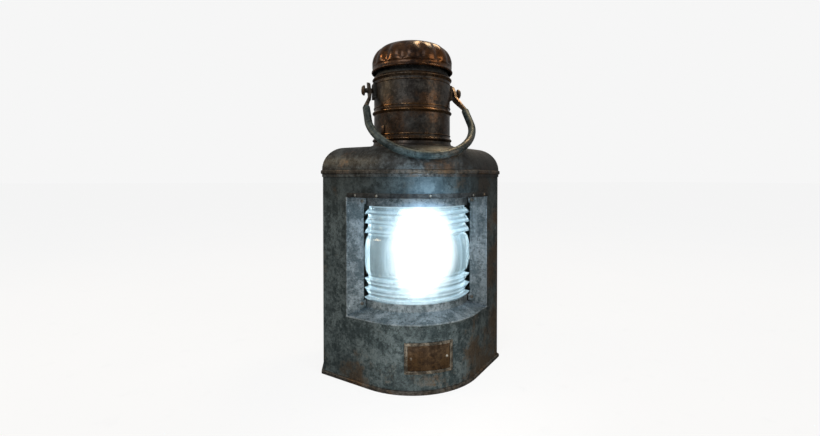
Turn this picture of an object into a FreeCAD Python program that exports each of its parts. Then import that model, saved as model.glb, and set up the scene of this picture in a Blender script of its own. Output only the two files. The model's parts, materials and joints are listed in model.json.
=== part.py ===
import FreeCAD, Part
import math
import os
import re
import Sketcher

# A ship's lantern: a folded sheet case with a round nose, a dioptric lens in a window niche,
# a chimney with a fluted cap, a bail that swings over the cap, and an electric lamp inside.
#
# Millimetres. +Z is up, the round nose faces -Y and +X is to the right when seen from the front.
# The origin is on the common axis of the nose, the lens and the chimney, in the base's plane.

Vector = FreeCAD.Vector

SIZES = [
    # the case
    ("case_width", 302, "across the two side corners"),
    ("nose_radius", 118.5, "outside of the round front, about the lantern's axis"),
    ("back_reach", 82, "axis to the back of the case"),
    ("back_width", 280, "across the two back corners"),
    ("case_height", 325, "top edge of the case wall"),
    ("wall", 1.2, "gauge of the case sheet"),
    ("back_flange", 14, "width of the case wall's folds at the back"),
    ("slip", 0.05, "gap between sheets that slide over one another"),
    ("bead_stand", 3.2, "how far a rolled edge stands out of the case wall"),
    ("bead_height", 6.5, "height of a rolled edge"),
    ("base_gauge", 1.5, "thickness of the base plate"),
    ("vent_radius", 4, "air holes in the base"),
    ("vent_circle", 52, "radius of the circle the air holes stand on"),
    ("vent_count", 8, "number of air holes"),
    # the roof
    ("skirt_depth", 5.5, "how far the roof laps down over the case"),
    ("roof_rise", 43, "case wall to the flat of the roof"),
    ("roof_round", 37, "radius of the roof's shoulder"),
    ("flue_inset", 7, "how much narrower than the chimney the hole under it is"),
    # the window
    ("window_width", 232, "opening across the two flats"),
    ("sill_height", 103, "outer edge of the sloping sill"),
    ("sill_rise", 11, "how much the sill climbs to the lens"),
    ("sill_gauge", 1.5, "thickness of the sill, measured upright"),
    ("lip_radius", 96, "outside of the rings that hold the lens"),
    ("lip_gauge", 1.2, "thickness of those rings"),
    ("lip_ledge", 16, "width of the ledges the lens stands between"),
    ("lip_low_reach", 11.5, "height of the lower ring"),
    ("lip_high_reach", 14, "height of the upper ring"),
    ("drip_stand", 5, "how far the drip strip stands out"),
    ("drip_rise", 7, "height of the drip strip"),
    ("clip_width", 12, "plates that hold the ring ends, across"),
    ("clip_height", 10, "height of those plates"),
    ("clip_gap", 1.5, "ring end to plate"),
    ("clip_margin", 6, "middle of a plate to the sill or the head"),
    ("rivet_radius", 2, "heads of the small rivets"),
    ("rivet_rise", 1.2, "height of those heads"),
    ("bolt_head_radius", 3, "heads of the larger rivets and screws"),
    ("bolt_head_rise", 1.8, "height of those heads"),
    # the lens
    ("lens_angle", 122, "sector that the lens fills, in degrees"),
    ("lens_tip", 100, "radius over the prism tips and the belt"),
    ("lens_root", 92.5, "radius at the roots of the prisms"),
    ("lens_foot", 91, "radius of the plain edges held in the rings"),
    ("lens_bore", 82, "inside radius of the glass"),
    ("lens_below", 82, "top of the sill to the focal plane"),
    ("lens_above", 92, "focal plane to the window head"),
    ("belt_half", 31, "half height of the bull's-eye belt"),
    ("prism_start", 5, "belt to the tip of the first prism"),
    ("prism_step", 15, "pitch of the prisms"),
    ("lens_gap", 1, "putty gap round the glass"),
    # the name plate
    ("plate_width", 74, "across the frame"),
    ("plate_height", 46, "height of the frame"),
    ("plate_middle", 54, "height of the plate's centre"),
    ("frame_bar", 4.5, "width of the frame's bars"),
    ("frame_depth", 2.2, "thickness of the frame"),
    ("plate_depth", 1, "thickness of the plate inside the frame"),
    ("rivet_inset", 5, "frame to rivet"),
    # the chimney
    ("chimney_radius", 65, "outside of the chimney tube"),
    ("foot_spread", 7, "how far the chimney's foot spreads"),
    ("foot_edge", 4, "height of the foot's edge"),
    ("tube_lap", 2.4, "how far the tube goes down into its foot"),
    ("ring_stand", 3, "how far the swaged rings stand out"),
    ("ring_height", 8, "height of a ring"),
    ("chimney_rise", 119, "roof to the top of the chimney tube"),
    ("ring_low_rise", 13, "roof to the middle of the lower ring"),
    ("ring_mid_rise", 59, "roof to the middle of the middle ring"),
    ("neck_inset", 4, "how much narrower than the tube the neck is"),
    ("neck_lap", 12, "how far the neck goes down into the tube"),
    ("cap_gap", 8, "chimney tube to the lower edge of the cap"),
    ("cap_spread", 3, "how far the cap stands out beyond the tube"),
    ("cap_band", 10, "height of the cap's plain band"),
    ("cap_height", 47, "height of the cap"),
    ("cap_bend", 33, "radius of the cap's shoulder"),
    ("flute_count", 14, "hollows round the cap"),
    ("flute_radius", 9, "radius of one hollow"),
    ("flute_depth", 3, "depth of one hollow"),
    ("baffle_inset", 13, "how much narrower than the neck the rain baffle is"),
    ("baffle_rise", 6, "neck to baffle"),
    ("stay_gauge", 3, "thickness of the stays between neck and cap"),
    ("stay_margin", 1, "how much shorter than the cap's band the stays are, at each end"),
    ("stay_count", 3, "number of stays"),
    # the bail
    ("pivot_drop", 22, "top of the chimney tube to the bail's pivot axis"),
    ("bail_rest_gap", 0.4, "sleeve to roof where the bail lies"),
    ("bail_spread", 9, "middle of a flattened end to middle of its leg, across"),
    ("bail_leg", 88, "pivot to the end of the straight leg"),
    ("bail_corner", 55, "radius of the corners"),
    ("bail_depth", 167, "pivot to the middle of the grip"),
    ("rod_radius", 4, "bail rod"),
    ("grip_radius", 6, "outside of the sheet sleeve round the rod"),
    ("grip_start", 50, "pivot to the end of the sleeve"),
    ("sleeve_lap", 4, "round rod that shows above the sleeve"),
    ("paddle_gap", 4, "lug to flattened end"),
    ("paddle_gauge", 4, "thickness of a flattened end"),
    ("paddle_width", 18, "width of a flattened end"),
    ("paddle_tip", 26, "pivot to the pointed top"),
    ("pin_radius", 4, "pivot pin"),
    ("pin_head_radius", 8.5, "mushroom head of the pin"),
    ("pin_reach", 13, "middle of a flattened end to the outer face of the pin's head"),
    ("pin_head_depth", 5.5, "thickness of the head"),
    ("tail_rise", 2, "tube to the inner end of the pin"),
    ("tail_gap", 0.6, "tube to the pin's riveted tail"),
    ("tail_spread", 2, "how far the tail stands out round the pin"),
    ("pivot_play", 0.05, "radial clearance of a turning fit"),
    ("lug_height", 27, "height of the plate that carries the pin"),
    ("lug_width", 28, "width of the plate that carries the pin"),
    ("lug_depth", 3, "thickness of the plate that carries the pin"),
    # the door at the back
    ("door_width", 184, "across the door"),
    ("door_height", 222, "height of the door"),
    ("door_low", 50, "lower edge of the door"),
    ("door_lap", 12, "how far the door laps over its opening"),
    ("door_gap", 0.4, "gap between closed door and back panel"),
    ("hinge_radius", 4, "outside of the hinge knuckles"),
    ("hinge_pin_radius", 1.6, "hinge pin"),
    ("hinge_leaf", 22, "width of a hinge leaf"),
    ("hinge_inset", 5.5, "door edge to hinge axis"),
    ("hinge_margin", 12, "hinge end to door edge, up and down"),
    ("knuckle_gap", 0.3, "gap between knuckles"),
    ("knob_radius", 9, "door knob"),
    ("knob_depth", 16, "how far the knob stands out"),
    ("knob_place", 60, "axis to the knob, across"),
    ("latch_place", 104, "axis to the turn button, across"),
    ("latch_length", 24, "pivot to the tip of the turn button"),
    ("latch_width", 10, "width of the turn button"),
    ("latch_gauge", 3, "thickness of the turn button"),
    ("stud_radius", 3, "stud of the turn button"),
    # the hangers
    ("hanger_reach", 106, "axis to the wall that the hangers bolt to"),
    ("hanger_width", 200, "across the outer faces of a hanger"),
    ("hanger_height", 24, "height of a hanger strap"),
    ("hanger_gauge", 2, "thickness of a hanger strap"),
    ("hanger_foot", 20, "width of a hanger's foot"),
    ("hanger_clear", 14, "door to hanger, up and down"),
    ("bolt_radius", 4.25, "bolt holes in the hangers"),
    ("bolt_spacing", 120, "bolt holes, across"),
    # the lamp
    ("post_radius", 10, "lamp post"),
    ("post_wall", 1.5, "wall of the lamp post"),
    ("post_foot", 30, "radius of the post's foot"),
    ("post_top", 124, "top of the lamp post"),
    ("post_flange", 2, "thickness of the post's foot and head"),
    ("holder_radius", 21, "outside of the lamp holder"),
    ("holder_height", 36, "height of the lamp holder"),
    ("holder_taper", 12, "height of the holder's narrowing end"),
    ("socket_depth", 26, "depth of the holder's socket"),
    ("bulb_radius", 30, "glass bulb"),
    ("bulb_neck", 12.5, "neck of the glass bulb"),
    ("bulb_gauge", 0.8, "thickness of the bulb's glass"),
    ("cap_shell", 13.3, "radius of the bulb's metal cap"),
    ("cap_contact", 5, "radius of the bulb's contact"),
    ("cap_stand", 2, "how far the metal cap stands out of the holder"),
    ("reflector_radius", 60, "inside of the reflector"),
    ("reflector_top", 250, "upper edge of the reflector"),
    ("reflector_gauge", 1, "thickness of the reflector"),
    ("reflector_angle", 130, "sector that the reflector fills, in degrees"),
    ("block_place", 50, "axis to the terminal block, across"),
    ("block_length", 40, "length of the terminal block"),
    ("block_width", 16, "width and height of the terminal block"),
    ("gland_radius", 8, "cable gland's thread"),
    ("gland_tail", 9, "how far the gland reaches into the case"),
    ("gland_collar", 5, "thickness of the gland's collar and nut"),
    ("gland_reach", 17, "how far the gland stands out"),
    ("gland_bore", 4.5, "hole for the cable"),
    ("gland_place", 112, "axis to the gland, across"),
    ("gland_height", 55, "height of the gland"),
]

# places and sizes that follow from the ones above, as formulas
ROOF_TOP = "(case_height + roof_rise)"
FLUE = "(chimney_radius - flue_inset)"
SILL_TOP = "(sill_height + sill_rise)"
LENS_MIDDLE = f"({SILL_TOP} + lens_below)"
HEAD = f"({LENS_MIDDLE} + lens_above)"
FOOT = "(chimney_radius + foot_spread)"
RING = "(chimney_radius + ring_stand)"
RING_LOW = f"({ROOF_TOP} + ring_low_rise)"
RING_MID = f"({ROOF_TOP} + ring_mid_rise)"
CHIMNEY_TOP = f"({ROOF_TOP} + chimney_rise)"
NECK = "(chimney_radius - neck_inset)"
CAP_FOOT = f"({CHIMNEY_TOP} + cap_gap)"
NECK_TOP = f"({CAP_FOOT} + cap_band)"
CAP = "(chimney_radius + cap_spread)"
CAP_TOP = f"({CAP_FOOT} + cap_height)"
CAP_CROWN = f"({CAP} - cap_bend)"
BAFFLE = f"({NECK} - baffle_inset)"
PIVOT = f"({CHIMNEY_TOP} - pivot_drop)"
PADDLE = "(chimney_radius + lug_depth + paddle_gap + paddle_gauge / 2)"
BAIL_HALF = f"({PADDLE} + bail_spread)"
PIN_REACH = f"({PADDLE} + pin_reach)"
HANGER_LOW = "(door_low - hanger_clear - hanger_height)"
HANGER_HIGH = "(door_low + door_height + hanger_clear)"
HINGE_LENGTH = "(door_height - 2 * hinge_margin)"


doc = FreeCAD.newDocument("ShipLantern")
dim = doc.addObject("Spreadsheet::Sheet", "Dim")
for row, (alias, value, note) in enumerate(SIZES, start=1):
    dim.set(f"A{row}", str(value))
    dim.setAlias(f"A{row}", alias)
    dim.set(f"B{row}", note)
doc.recompute()
ALIASES = {alias for alias, value, note in SIZES}
NODES = []


# ---------------------------------------------------------------- helpers

def bound(formula):
    """The formula with the sheet's name put before each size."""
    return re.sub(r"[a-z_]+", lambda word: "Dim." + word[0] if word[0] in ALIASES else word[0], formula)


def size(formula):
    """The value of a formula now, in millimetres or degrees."""
    return float(dim.evalExpression(bound(formula)))


def body(label):
    """A new PartDesign body, which is one sub-part."""
    new = doc.addObject("PartDesign::Body", label)
    new.Label = label
    NODES.append(new)
    return new


def sketch(owner, plane, *loops, shift="0"):
    """A sketch on one of the body's origin planes, moved along the plane's normal by shift."""
    new = owner.newObject("Sketcher::SketchObject", owner.Name + "_sketch")
    support = [f for f in owner.Origin.OriginFeatures if f.Role == plane][0]
    new.AttachmentSupport = [(support, "")]
    new.MapMode = "FlatFace"
    if shift != "0":
        new.setExpression(".AttachmentOffset.Base.z", bound(shift))
    for loop in loops:
        if isinstance(loop, list):
            draw_loop(new, loop)
        else:
            draw_circle(new, *loop)
    doc.recompute()
    return new


def pin_down(target, geometry, position, x, y):
    """Ties one point of a sketch to the formulas of its place; None leaves a direction free."""
    for kind, axis, formula in (("DistanceX", -2, x), ("DistanceY", -1, y)):
        if formula is None:
            continue
        if formula == "0":
            target.addConstraint(Sketcher.Constraint("PointOnObject", geometry, position, axis))
            continue
        rule = Sketcher.Constraint(kind, -1, 1, geometry, position, size(formula))
        index = target.addConstraint(rule)
        target.setExpression(f"Constraints[{index}]", bound(formula))


def draw_circle(target, x, y, radius):
    """A full circle."""
    circle = Part.Circle(Vector(size(x), size(y), 0), Vector(0, 0, 1), size(radius))
    geometry = target.addGeometry(circle)
    index = target.addConstraint(Sketcher.Constraint("Radius", geometry, size(radius)))
    target.setExpression(f"Constraints[{index}]", bound(radius))
    pin_down(target, geometry, 3, x, y)


def draw_loop(target, corners, closed=True):
    """An outline. A corner is (x, y), or (x, y, turn, cx, cy) where an arc about
    (cx, cy) leads on to the next corner, anticlockwise ("left") or clockwise ("right")."""
    ends = []
    followers = corners[1:] + corners[:1] if closed else corners[1:]
    for corner, following in zip(corners, followers):
        start = Vector(size(corner[0]), size(corner[1]), 0)
        end = Vector(size(following[0]), size(following[1]), 0)
        if len(corner) == 2:
            geometry = target.addGeometry(Part.LineSegment(start, end))
            ends.append((geometry, 1, 2))
            continue
        turn, cx, cy = corner[2:]
        centre = Vector(size(cx), size(cy), 0)
        first, last = (start, end) if turn == "left" else (end, start)
        circle = Part.Circle(centre, Vector(0, 0, 1), (start - centre).Length)
        arc = Part.ArcOfCircle(circle, circle.parameter(first), circle.parameter(last))
        geometry = target.addGeometry(arc)
        if abs(end.x - start.x) > abs(end.y - start.y):
            pin_down(target, geometry, 3, None, cy)
        else:
            pin_down(target, geometry, 3, cx, None)
        ends.append((geometry, 1, 2) if turn == "left" else (geometry, 2, 1))
    for this, following in zip(ends, ends[1:] + ends[:1] if closed else ends[1:]):
        joint = Sketcher.Constraint("Coincident", this[0], this[2], following[0], following[1])
        target.addConstraint(joint)
    for (geometry, start, end), corner in zip(ends, corners):
        pin_down(target, geometry, start, corner[0], corner[1])
    if not closed:
        pin_down(target, ends[-1][0], ends[-1][2], corners[-1][0], corners[-1][1])


def feature(owner, kind, profile, **settings):
    """A PartDesign feature on the body. Text settings are formulas; others are set as they are."""
    new = owner.newObject("PartDesign::" + kind, owner.Name + "_" + kind.lower())
    new.Profile = profile
    for name, setting in settings.items():
        if isinstance(setting, str) and name in ("Length", "Angle"):
            new.setExpression(name, bound(setting))
        else:
            setattr(new, name, setting)
    doc.recompute()
    return new


def pad(owner, profile, length, **settings):
    return feature(owner, "Pad", profile, Length=length, **settings)


def pocket(owner, profile, length, **settings):
    """A pocket, which has to take something away."""
    before = owner.Shape.Volume
    new = feature(owner, "Pocket", profile, Length=length, **settings)
    if owner.Shape.Volume >= before:
        raise ValueError(f"{new.Label} cuts nothing")
    return new


def spin(owner, corners, angle="360", middle=False):
    """A solid of revolution about Z. Its outline is drawn as (radius, height) corners."""
    profile = sketch(owner, "XZ_Plane", corners)
    return spin_profile(owner, profile, angle, middle)


def spin_profile(owner, profile, angle, middle):
    new = owner.newObject("PartDesign::Revolution", owner.Name + "_revolution")
    new.Profile = profile
    new.ReferenceAxis = (profile, ["V_Axis"])
    new.setExpression("Angle", bound(angle))
    if middle:
        new.Midplane = True
    doc.recompute()
    return new


def spin_sector(owner, corners, angle, side):
    """A sector of revolution centred on the front (side "-") or the back (side "")."""
    turned = [(side + "(" + c[0] + ")", c[1]) for c in corners]
    return spin_profile(owner, sketch(owner, "YZ_Plane", turned), angle, True)


def round_edges(owner, before, radius, chosen):
    """A fillet on the edges of the last feature that the rule chosen picks."""
    names = [f"Edge{i}" for i, edge in enumerate(before.Shape.Edges, start=1) if chosen(edge)]
    new = owner.newObject("PartDesign::Fillet", owner.Name + "_fillet")
    new.Base = (before, names)
    new.setExpression("Radius", bound(radius))
    doc.recompute()
    return new


def at_height(formula):
    """A rule for edges that lie flat at one height."""
    level = size(formula)
    return lambda edge: all(abs(v.Point.z - level) < 1e-4 for v in edge.Vertexes)


def polar(owner, original, count):
    """The last cut repeated round the lantern's axis."""
    new = owner.newObject("PartDesign::PolarPattern", owner.Name + "_polar")
    new.Originals = [original]
    new.Axis = ([f for f in owner.Origin.OriginFeatures if f.Role == "Z_Axis"][0], [""])
    new.Angle = 360
    new.setExpression("Occurrences", bound(count))
    owner.Tip = new
    doc.recompute()
    return new


def mirrored(formula, side):
    """The formula for the right-hand side, or its negative for the left."""
    return formula if side == "right" else f"-({formula})"


def fasteners(label, solids):
    """One node that holds a group of separate, identical fasteners."""
    new = doc.addObject("Part::Feature", label)
    new.Label = label
    new.Shape = Part.makeCompound(solids)
    new.Placement = FreeCAD.Placement()
    NODES.append(new)
    return new


def dome(place, outward, radius, depth):
    """The round head of a rivet or screw, standing on place."""
    ball_radius = (radius ** 2 + depth ** 2) / (2 * depth)
    halfway = math.asin(radius / ball_radius) / 2
    crown = Vector(0, 0, depth)
    shoulder = Vector(ball_radius * math.sin(halfway), 0,
                      depth - ball_radius * (1 - math.cos(halfway)))
    rim = Vector(radius, 0, 0)
    middle = Vector(0, 0, 0)
    outline = Part.Wire([
        Part.makeLine(middle, rim),
        Part.Arc(rim, shoulder, crown).toShape(),
        Part.makeLine(crown, middle),
    ])
    head = Part.Face(outline).revolve(middle, Vector(0, 0, 1), 360)
    head.Placement = FreeCAD.Placement(place, FreeCAD.Rotation(Vector(0, 0, 1), outward))
    return head


# ---------------------------------------------------------------- the case's plan

def flat_y(x, offset):
    """Y on the 45 degree flats at x, for an outline moved outwards by offset."""
    return f"-((nose_radius + ({offset})) * sqrt(2) - ({x}))"


def tangent(offset):
    """Where the round nose meets a flat, the same distance across and forward."""
    return f"((nose_radius + ({offset})) / sqrt(2))"


def plan(offset):
    """The closed plan of the case, with every side moved outwards by offset."""
    corner_y = flat_y("case_width / 2", "0")
    run_x = "(case_width / 2 - back_width / 2)"
    run_y = f"(back_reach - {corner_y})"
    length = f"sqrt(pow({run_x}; 2) + pow({run_y}; 2))"
    across = f"({run_y} / {length})"
    along = f"({run_x} / {length})"
    reach = f"({across} * case_width / 2 + {along} * {corner_y} + ({offset}))"
    rear = f"(back_reach + ({offset}))"
    side = f"(({reach} + {along} * (nose_radius + ({offset})) * sqrt(2)) / ({across} + {along}))"
    back = f"(({reach} - {along} * {rear}) / {across})"
    touch = tangent(offset)
    return [
        (f"-{touch}", f"-{touch}", "left", "0", "0"),
        (touch, f"-{touch}"),
        (side, flat_y(side, offset)),
        (back, rear),
        (f"-{back}", rear),
        (f"-{side}", flat_y(side, offset)),
    ]


def front_band(reach, inner, outer):
    """A strip along the front of the case between two offsets, out to reach on each flat."""
    out = tangent(outer)
    into = tangent(inner)
    return [
        (f"-({reach})", flat_y(reach, outer)),
        (f"-{out}", f"-{out}", "left", "0", "0"),
        (out, f"-{out}"),
        (reach, flat_y(reach, outer)),
        (reach, flat_y(reach, inner)),
        (into, f"-{into}", "right", "0", "0"),
        (f"-{into}", f"-{into}"),
        (f"-({reach})", flat_y(reach, inner)),
    ]


def nose_band(reach, inner, outer):
    """A strip round the nose between two offsets, out to reach each side."""
    far = f"(nose_radius + ({outer}))"
    near = f"(nose_radius + ({inner}))"
    far_y = f"-sqrt(pow({far}; 2) - pow({reach}; 2))"
    near_y = f"-sqrt(pow({near}; 2) - pow({reach}; 2))"
    return [
        (f"-({reach})", far_y, "left", "0", "0"),
        (reach, far_y),
        (reach, near_y, "right", "0", "0"),
        (f"-({reach})", near_y),
    ]


def rectangle(x_low, x_high, y_low, y_high):
    return [(x_low, y_low), (x_high, y_low), (x_high, y_high), (x_low, y_high)]


def front_place(x, offset, z):
    """A point on the front of the case at x, and the direction that faces outwards there."""
    radius = size("nose_radius") + offset
    touch = radius / 2 ** 0.5
    if abs(x) <= touch:
        outward = Vector(x / radius, -(1 - (x / radius) ** 2) ** 0.5, 0)
        return Vector(0, 0, z) + outward * radius, outward
    outward = Vector(1 if x > 0 else -1, -1, 0).normalize()
    return Vector(x, -(radius * 2 ** 0.5 - abs(x)), z), outward


LIP_X = "lip_radius * sin(lens_angle / 2)"
LIP_Y = "-lip_radius * cos(lens_angle / 2)"
WINDOW_X = "window_width / 2"
WINDOW_Y = flat_y(WINDOW_X, "0")
PANEL_BACK = "(back_reach - wall)"
PANEL_FRONT = "(back_reach - 2 * wall)"
DOOR_INNER = "(back_reach - wall + door_gap)"
DOOR_OUTER = "(back_reach - 2 * wall + 2 * hinge_radius)"
ROOF_OFFSET = "(2 * slip + wall)"


# ---------------------------------------------------------------- the case

def body_shell():
    """The wrapped wall, with the window cut out and narrow folds at the back."""
    part = body("body_shell")
    pad(part, sketch(part, "XY_Plane", plan("0")), "case_height")
    pocket(part, sketch(part, "XY_Plane", plan("-wall")), "case_height", Reversed=True)
    half = "back_width / 2 - back_flange"
    opening = rectangle(f"-({half})", half, "0", "case_height")
    pocket(part, sketch(part, "XZ_Plane", opening), "back_reach + wall")
    window = rectangle(f"-{WINDOW_X}", WINDOW_X, "sill_height", HEAD)
    pocket(part, sketch(part, "XZ_Plane", window), "nose_radius + wall", Reversed=True)


def rolled_edge(label, low, inner):
    """A rolled, half-round edge round the case, from the offset inner outwards."""
    part = body(label)
    block = pad(part, sketch(part, "XY_Plane", plan("bead_stand"), shift=low), "bead_height")
    flat = lambda edge: at_height(low)(edge) or at_height(f"{low} + bead_height")(edge)
    round_edges(part, block, "0.9 * (bead_stand - wall)", flat)
    pocket(part, sketch(part, "XY_Plane", plan(inner), shift=low), "bead_height", Reversed=True)


def base_plate():
    """The flat base with a ring of air holes."""
    part = body("base_plate")
    pad(part, sketch(part, "XY_Plane", plan("-wall")), "base_gauge")
    hole = sketch(part, "XY_Plane", ("0", "vent_circle", "vent_radius"))
    polar(part, pocket(part, hole, "base_gauge", Reversed=True), "vent_count")


def back_panel():
    """The flat back between the folds, with the door opening and the gland's hole."""
    part = body("back_panel")
    half = "back_width / 2 - 2 * wall"
    sheet = rectangle(f"-({half})", half, "base_gauge", "case_height")
    pad(part, sketch(part, "XZ_Plane", sheet, shift=f"-{PANEL_BACK}"), "wall")
    door_half = "door_width / 2 - door_lap"
    opening = rectangle(f"-({door_half})", door_half, "door_low + door_lap",
                        "door_low + door_height - door_lap")
    gland = ("gland_place", "gland_height", "gland_radius")
    stud = ("latch_place", "door_low + door_height / 2", "stud_radius")
    holes = sketch(part, "XZ_Plane", opening, gland, stud, shift=f"-{PANEL_BACK}")
    pocket(part, holes, "wall", Reversed=True)


def roof():
    """The pressed roof: a skirt over the case, a round shoulder and a flat top with the flue."""
    part = body("roof")
    low = "case_height - skirt_depth"
    block = pad(part, sketch(part, "XY_Plane", plan(ROOF_OFFSET), shift=low), f"{ROOF_TOP} - ({low})")
    rounded = round_edges(part, block, "roof_round", at_height(ROOF_TOP))
    shell = part.newObject("PartDesign::Thickness", "roof_thickness")
    level = size(low)
    under = [f"Face{i}" for i, face in enumerate(rounded.Shape.Faces, start=1)
             if abs(face.BoundBox.ZMax - level) < 1e-4]
    shell.Base = (rounded, under)
    shell.setExpression("Value", bound("wall"))
    shell.Reversed = True
    doc.recompute()
    pocket(part, sketch(part, "XY_Plane", ("0", "0", FLUE), shift=low),
           ROOF_TOP, Reversed=True)


# ---------------------------------------------------------------- the window niche

def window_sill():
    """The sloping sill: from the case wall up to the ring that holds the lens."""
    part = body("window_sill")
    outer_touch = tangent("0")
    outer = [
        (f"-{WINDOW_X}", WINDOW_Y),
        (f"-{outer_touch}", f"-{outer_touch}", "left", "0", "0"),
        (outer_touch, f"-{outer_touch}"),
        (WINDOW_X, WINDOW_Y),
    ]
    inner_touch = "lip_radius / sqrt(2)"
    inner = [
        (f"-{LIP_X}", LIP_Y, "left", "0", "0"),
        (f"-{inner_touch}", f"-{inner_touch}", "left", "0", "0"),
        (inner_touch, f"-{inner_touch}", "left", "0", "0"),
        (LIP_X, LIP_Y),
    ]
    for kind, drop in (("AdditiveLoft", "0"), ("SubtractiveLoft", "sill_gauge")):
        low = sketch(part, "XY_Plane", outer, shift=f"sill_height - {drop}")
        high = sketch(part, "XY_Plane", inner, shift=f"{SILL_TOP} - {drop}")
        loft = part.newObject("PartDesign::" + kind, "sill_" + kind.lower())
        loft.Profile = low
        loft.Sections = [high]
        loft.Ruled = True
        doc.recompute()
    bore = ("0", "0", "lip_radius - lip_ledge + slip")
    pocket(part, sketch(part, "XY_Plane", bore), SILL_TOP, Reversed=True)


def window_head():
    """The flat head of the niche, inside the case wall."""
    part = body("window_head")
    touch = tangent("-wall")
    ledge_x = "(lip_radius - lip_ledge) * sin(lens_angle / 2)"
    ledge_y = "-(lip_radius - lip_ledge) * cos(lens_angle / 2)"
    edge = [
        (f"-{WINDOW_X}", flat_y(WINDOW_X, "-wall")),
        (f"-{touch}", f"-{touch}", "left", "0", "0"),
        (touch, f"-{touch}"),
        (WINDOW_X, flat_y(WINDOW_X, "-wall")),
        (LIP_X, LIP_Y),
        (ledge_x, ledge_y, "right", "0", "0"),
        (f"-{ledge_x}", ledge_y),
        (f"-{LIP_X}", LIP_Y),
    ]
    pad(part, sketch(part, "XY_Plane", edge, shift=HEAD), "wall")


def reveal(side):
    """The plate between the end of the lens and the cut edge of the case wall."""
    part = body("reveal_" + side)
    across = f"({WINDOW_X} - lens_tip * sin(lens_angle / 2) - lens_gap)"
    share = f"({across} / ({WINDOW_X} - {LIP_X}))"
    near_x = f"({WINDOW_X} - {across})"
    near_y = f"({WINDOW_Y} + {share} * ({LIP_Y} - ({WINDOW_Y})))"
    plate = [
        (mirrored(WINDOW_X, side), WINDOW_Y),
        (mirrored(near_x, side), near_y),
        (mirrored(near_x, side), f"{near_y} + wall"),
        (mirrored(WINDOW_X, side), f"{WINDOW_Y} + wall"),
    ]
    pad(part, sketch(part, "XY_Plane", plate, shift="sill_height"), f"{HEAD} - sill_height")


def lens_seats():
    """The two rings with ledges that hold the lens above and below."""
    ledge = "lip_radius - lip_ledge"
    inner = "lip_radius - lip_gauge"
    for label, foot, sign, reach in (("lens_seat_lower", SILL_TOP, "+", "lip_low_reach"),
                                     ("lens_seat_upper", HEAD, "-", "lip_high_reach")):
        corners = [
            (ledge, foot),
            ("lip_radius", foot),
            ("lip_radius", f"{foot} {sign} {reach}"),
            (inner, f"{foot} {sign} {reach}"),
            (inner, f"{foot} {sign} lip_gauge"),
            (ledge, f"{foot} {sign} lip_gauge"),
        ]
        spin_sector(body(label), corners, "lens_angle", "-")


LENS_LOW = f"({SILL_TOP} + lip_gauge + lens_gap)"
LENS_HIGH = f"({HEAD} - lip_gauge - lens_gap)"


def lens():
    """The dioptric lens: a bulging belt with prisms above and below it."""
    part = body("lens")
    riser = "lens_gap"
    outer = [("lens_foot", LENS_LOW)]
    below = f"{LENS_MIDDLE} - belt_half"
    above = f"{LENS_MIDDLE} + belt_half"
    # three prisms under the belt: each root, its riser and its tip, from the bottom up
    for index in (2, 1, 0):
        tip = f"{below} - prism_start - {index} * prism_step"
        root = f"{tip} - prism_step + {riser}"
        if index == 2:
            root = f"{SILL_TOP} + lip_low_reach + {riser}"
            outer.append(("lens_foot", root))
        outer.append(("lens_root", root))
        outer.append(("lens_tip", tip))
    outer.append(("lens_root", f"{below} - 5 + {riser}"))
    # the belt's bulge in four straight facets each way, then a flat over its crest
    for share, swell in ((0, 0.0), (0.28, 0.45), (0.62, 0.83), (1, 1.0)):
        height = f"{below} + {share} * belt_half"
        outer.append((f"lens_root + {swell} * (lens_tip - lens_root)", height))
    for share, swell in ((0.38, 0.83), (0.72, 0.45), (1, 0.0)):
        height = f"{LENS_MIDDLE} + {share} * belt_half"
        outer.append((f"lens_root + {swell} * (lens_tip - lens_root)", height))
    for index in (0, 1, 2):
        tip = f"{above} + prism_start + {index} * prism_step"
        root = f"{tip} + prism_step - {riser}"
        if index == 0:
            outer.append(("lens_root", f"{tip} - {riser}"))
        outer.append(("lens_tip", tip))
        if index == 2:
            root = f"{HEAD} - lip_high_reach - {riser}"
            outer.append(("lens_root", root))
            outer.append(("lens_foot", root))
        else:
            outer.append(("lens_root", root))
    outer.append(("lens_foot", LENS_HIGH))
    outer.append(("lens_bore", LENS_HIGH))
    outer.append(("lens_bore", LENS_LOW))
    spin_sector(part, outer, "lens_angle", "-")


def lens_seals():
    """Putty seals between the lens's plain edges and the rings."""
    near = "lens_foot + slip"
    far = "lip_radius - lip_gauge - slip"
    low = (LENS_LOW, f"{SILL_TOP} + lip_low_reach - lens_gap")
    high = (f"{HEAD} - lip_high_reach + lens_gap", LENS_HIGH)
    for label, (bottom, top) in (("lens_seal_lower", low), ("lens_seal_upper", high)):
        spin_sector(body(label), rectangle(near, far, bottom, top), "lens_angle", "-")


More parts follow.
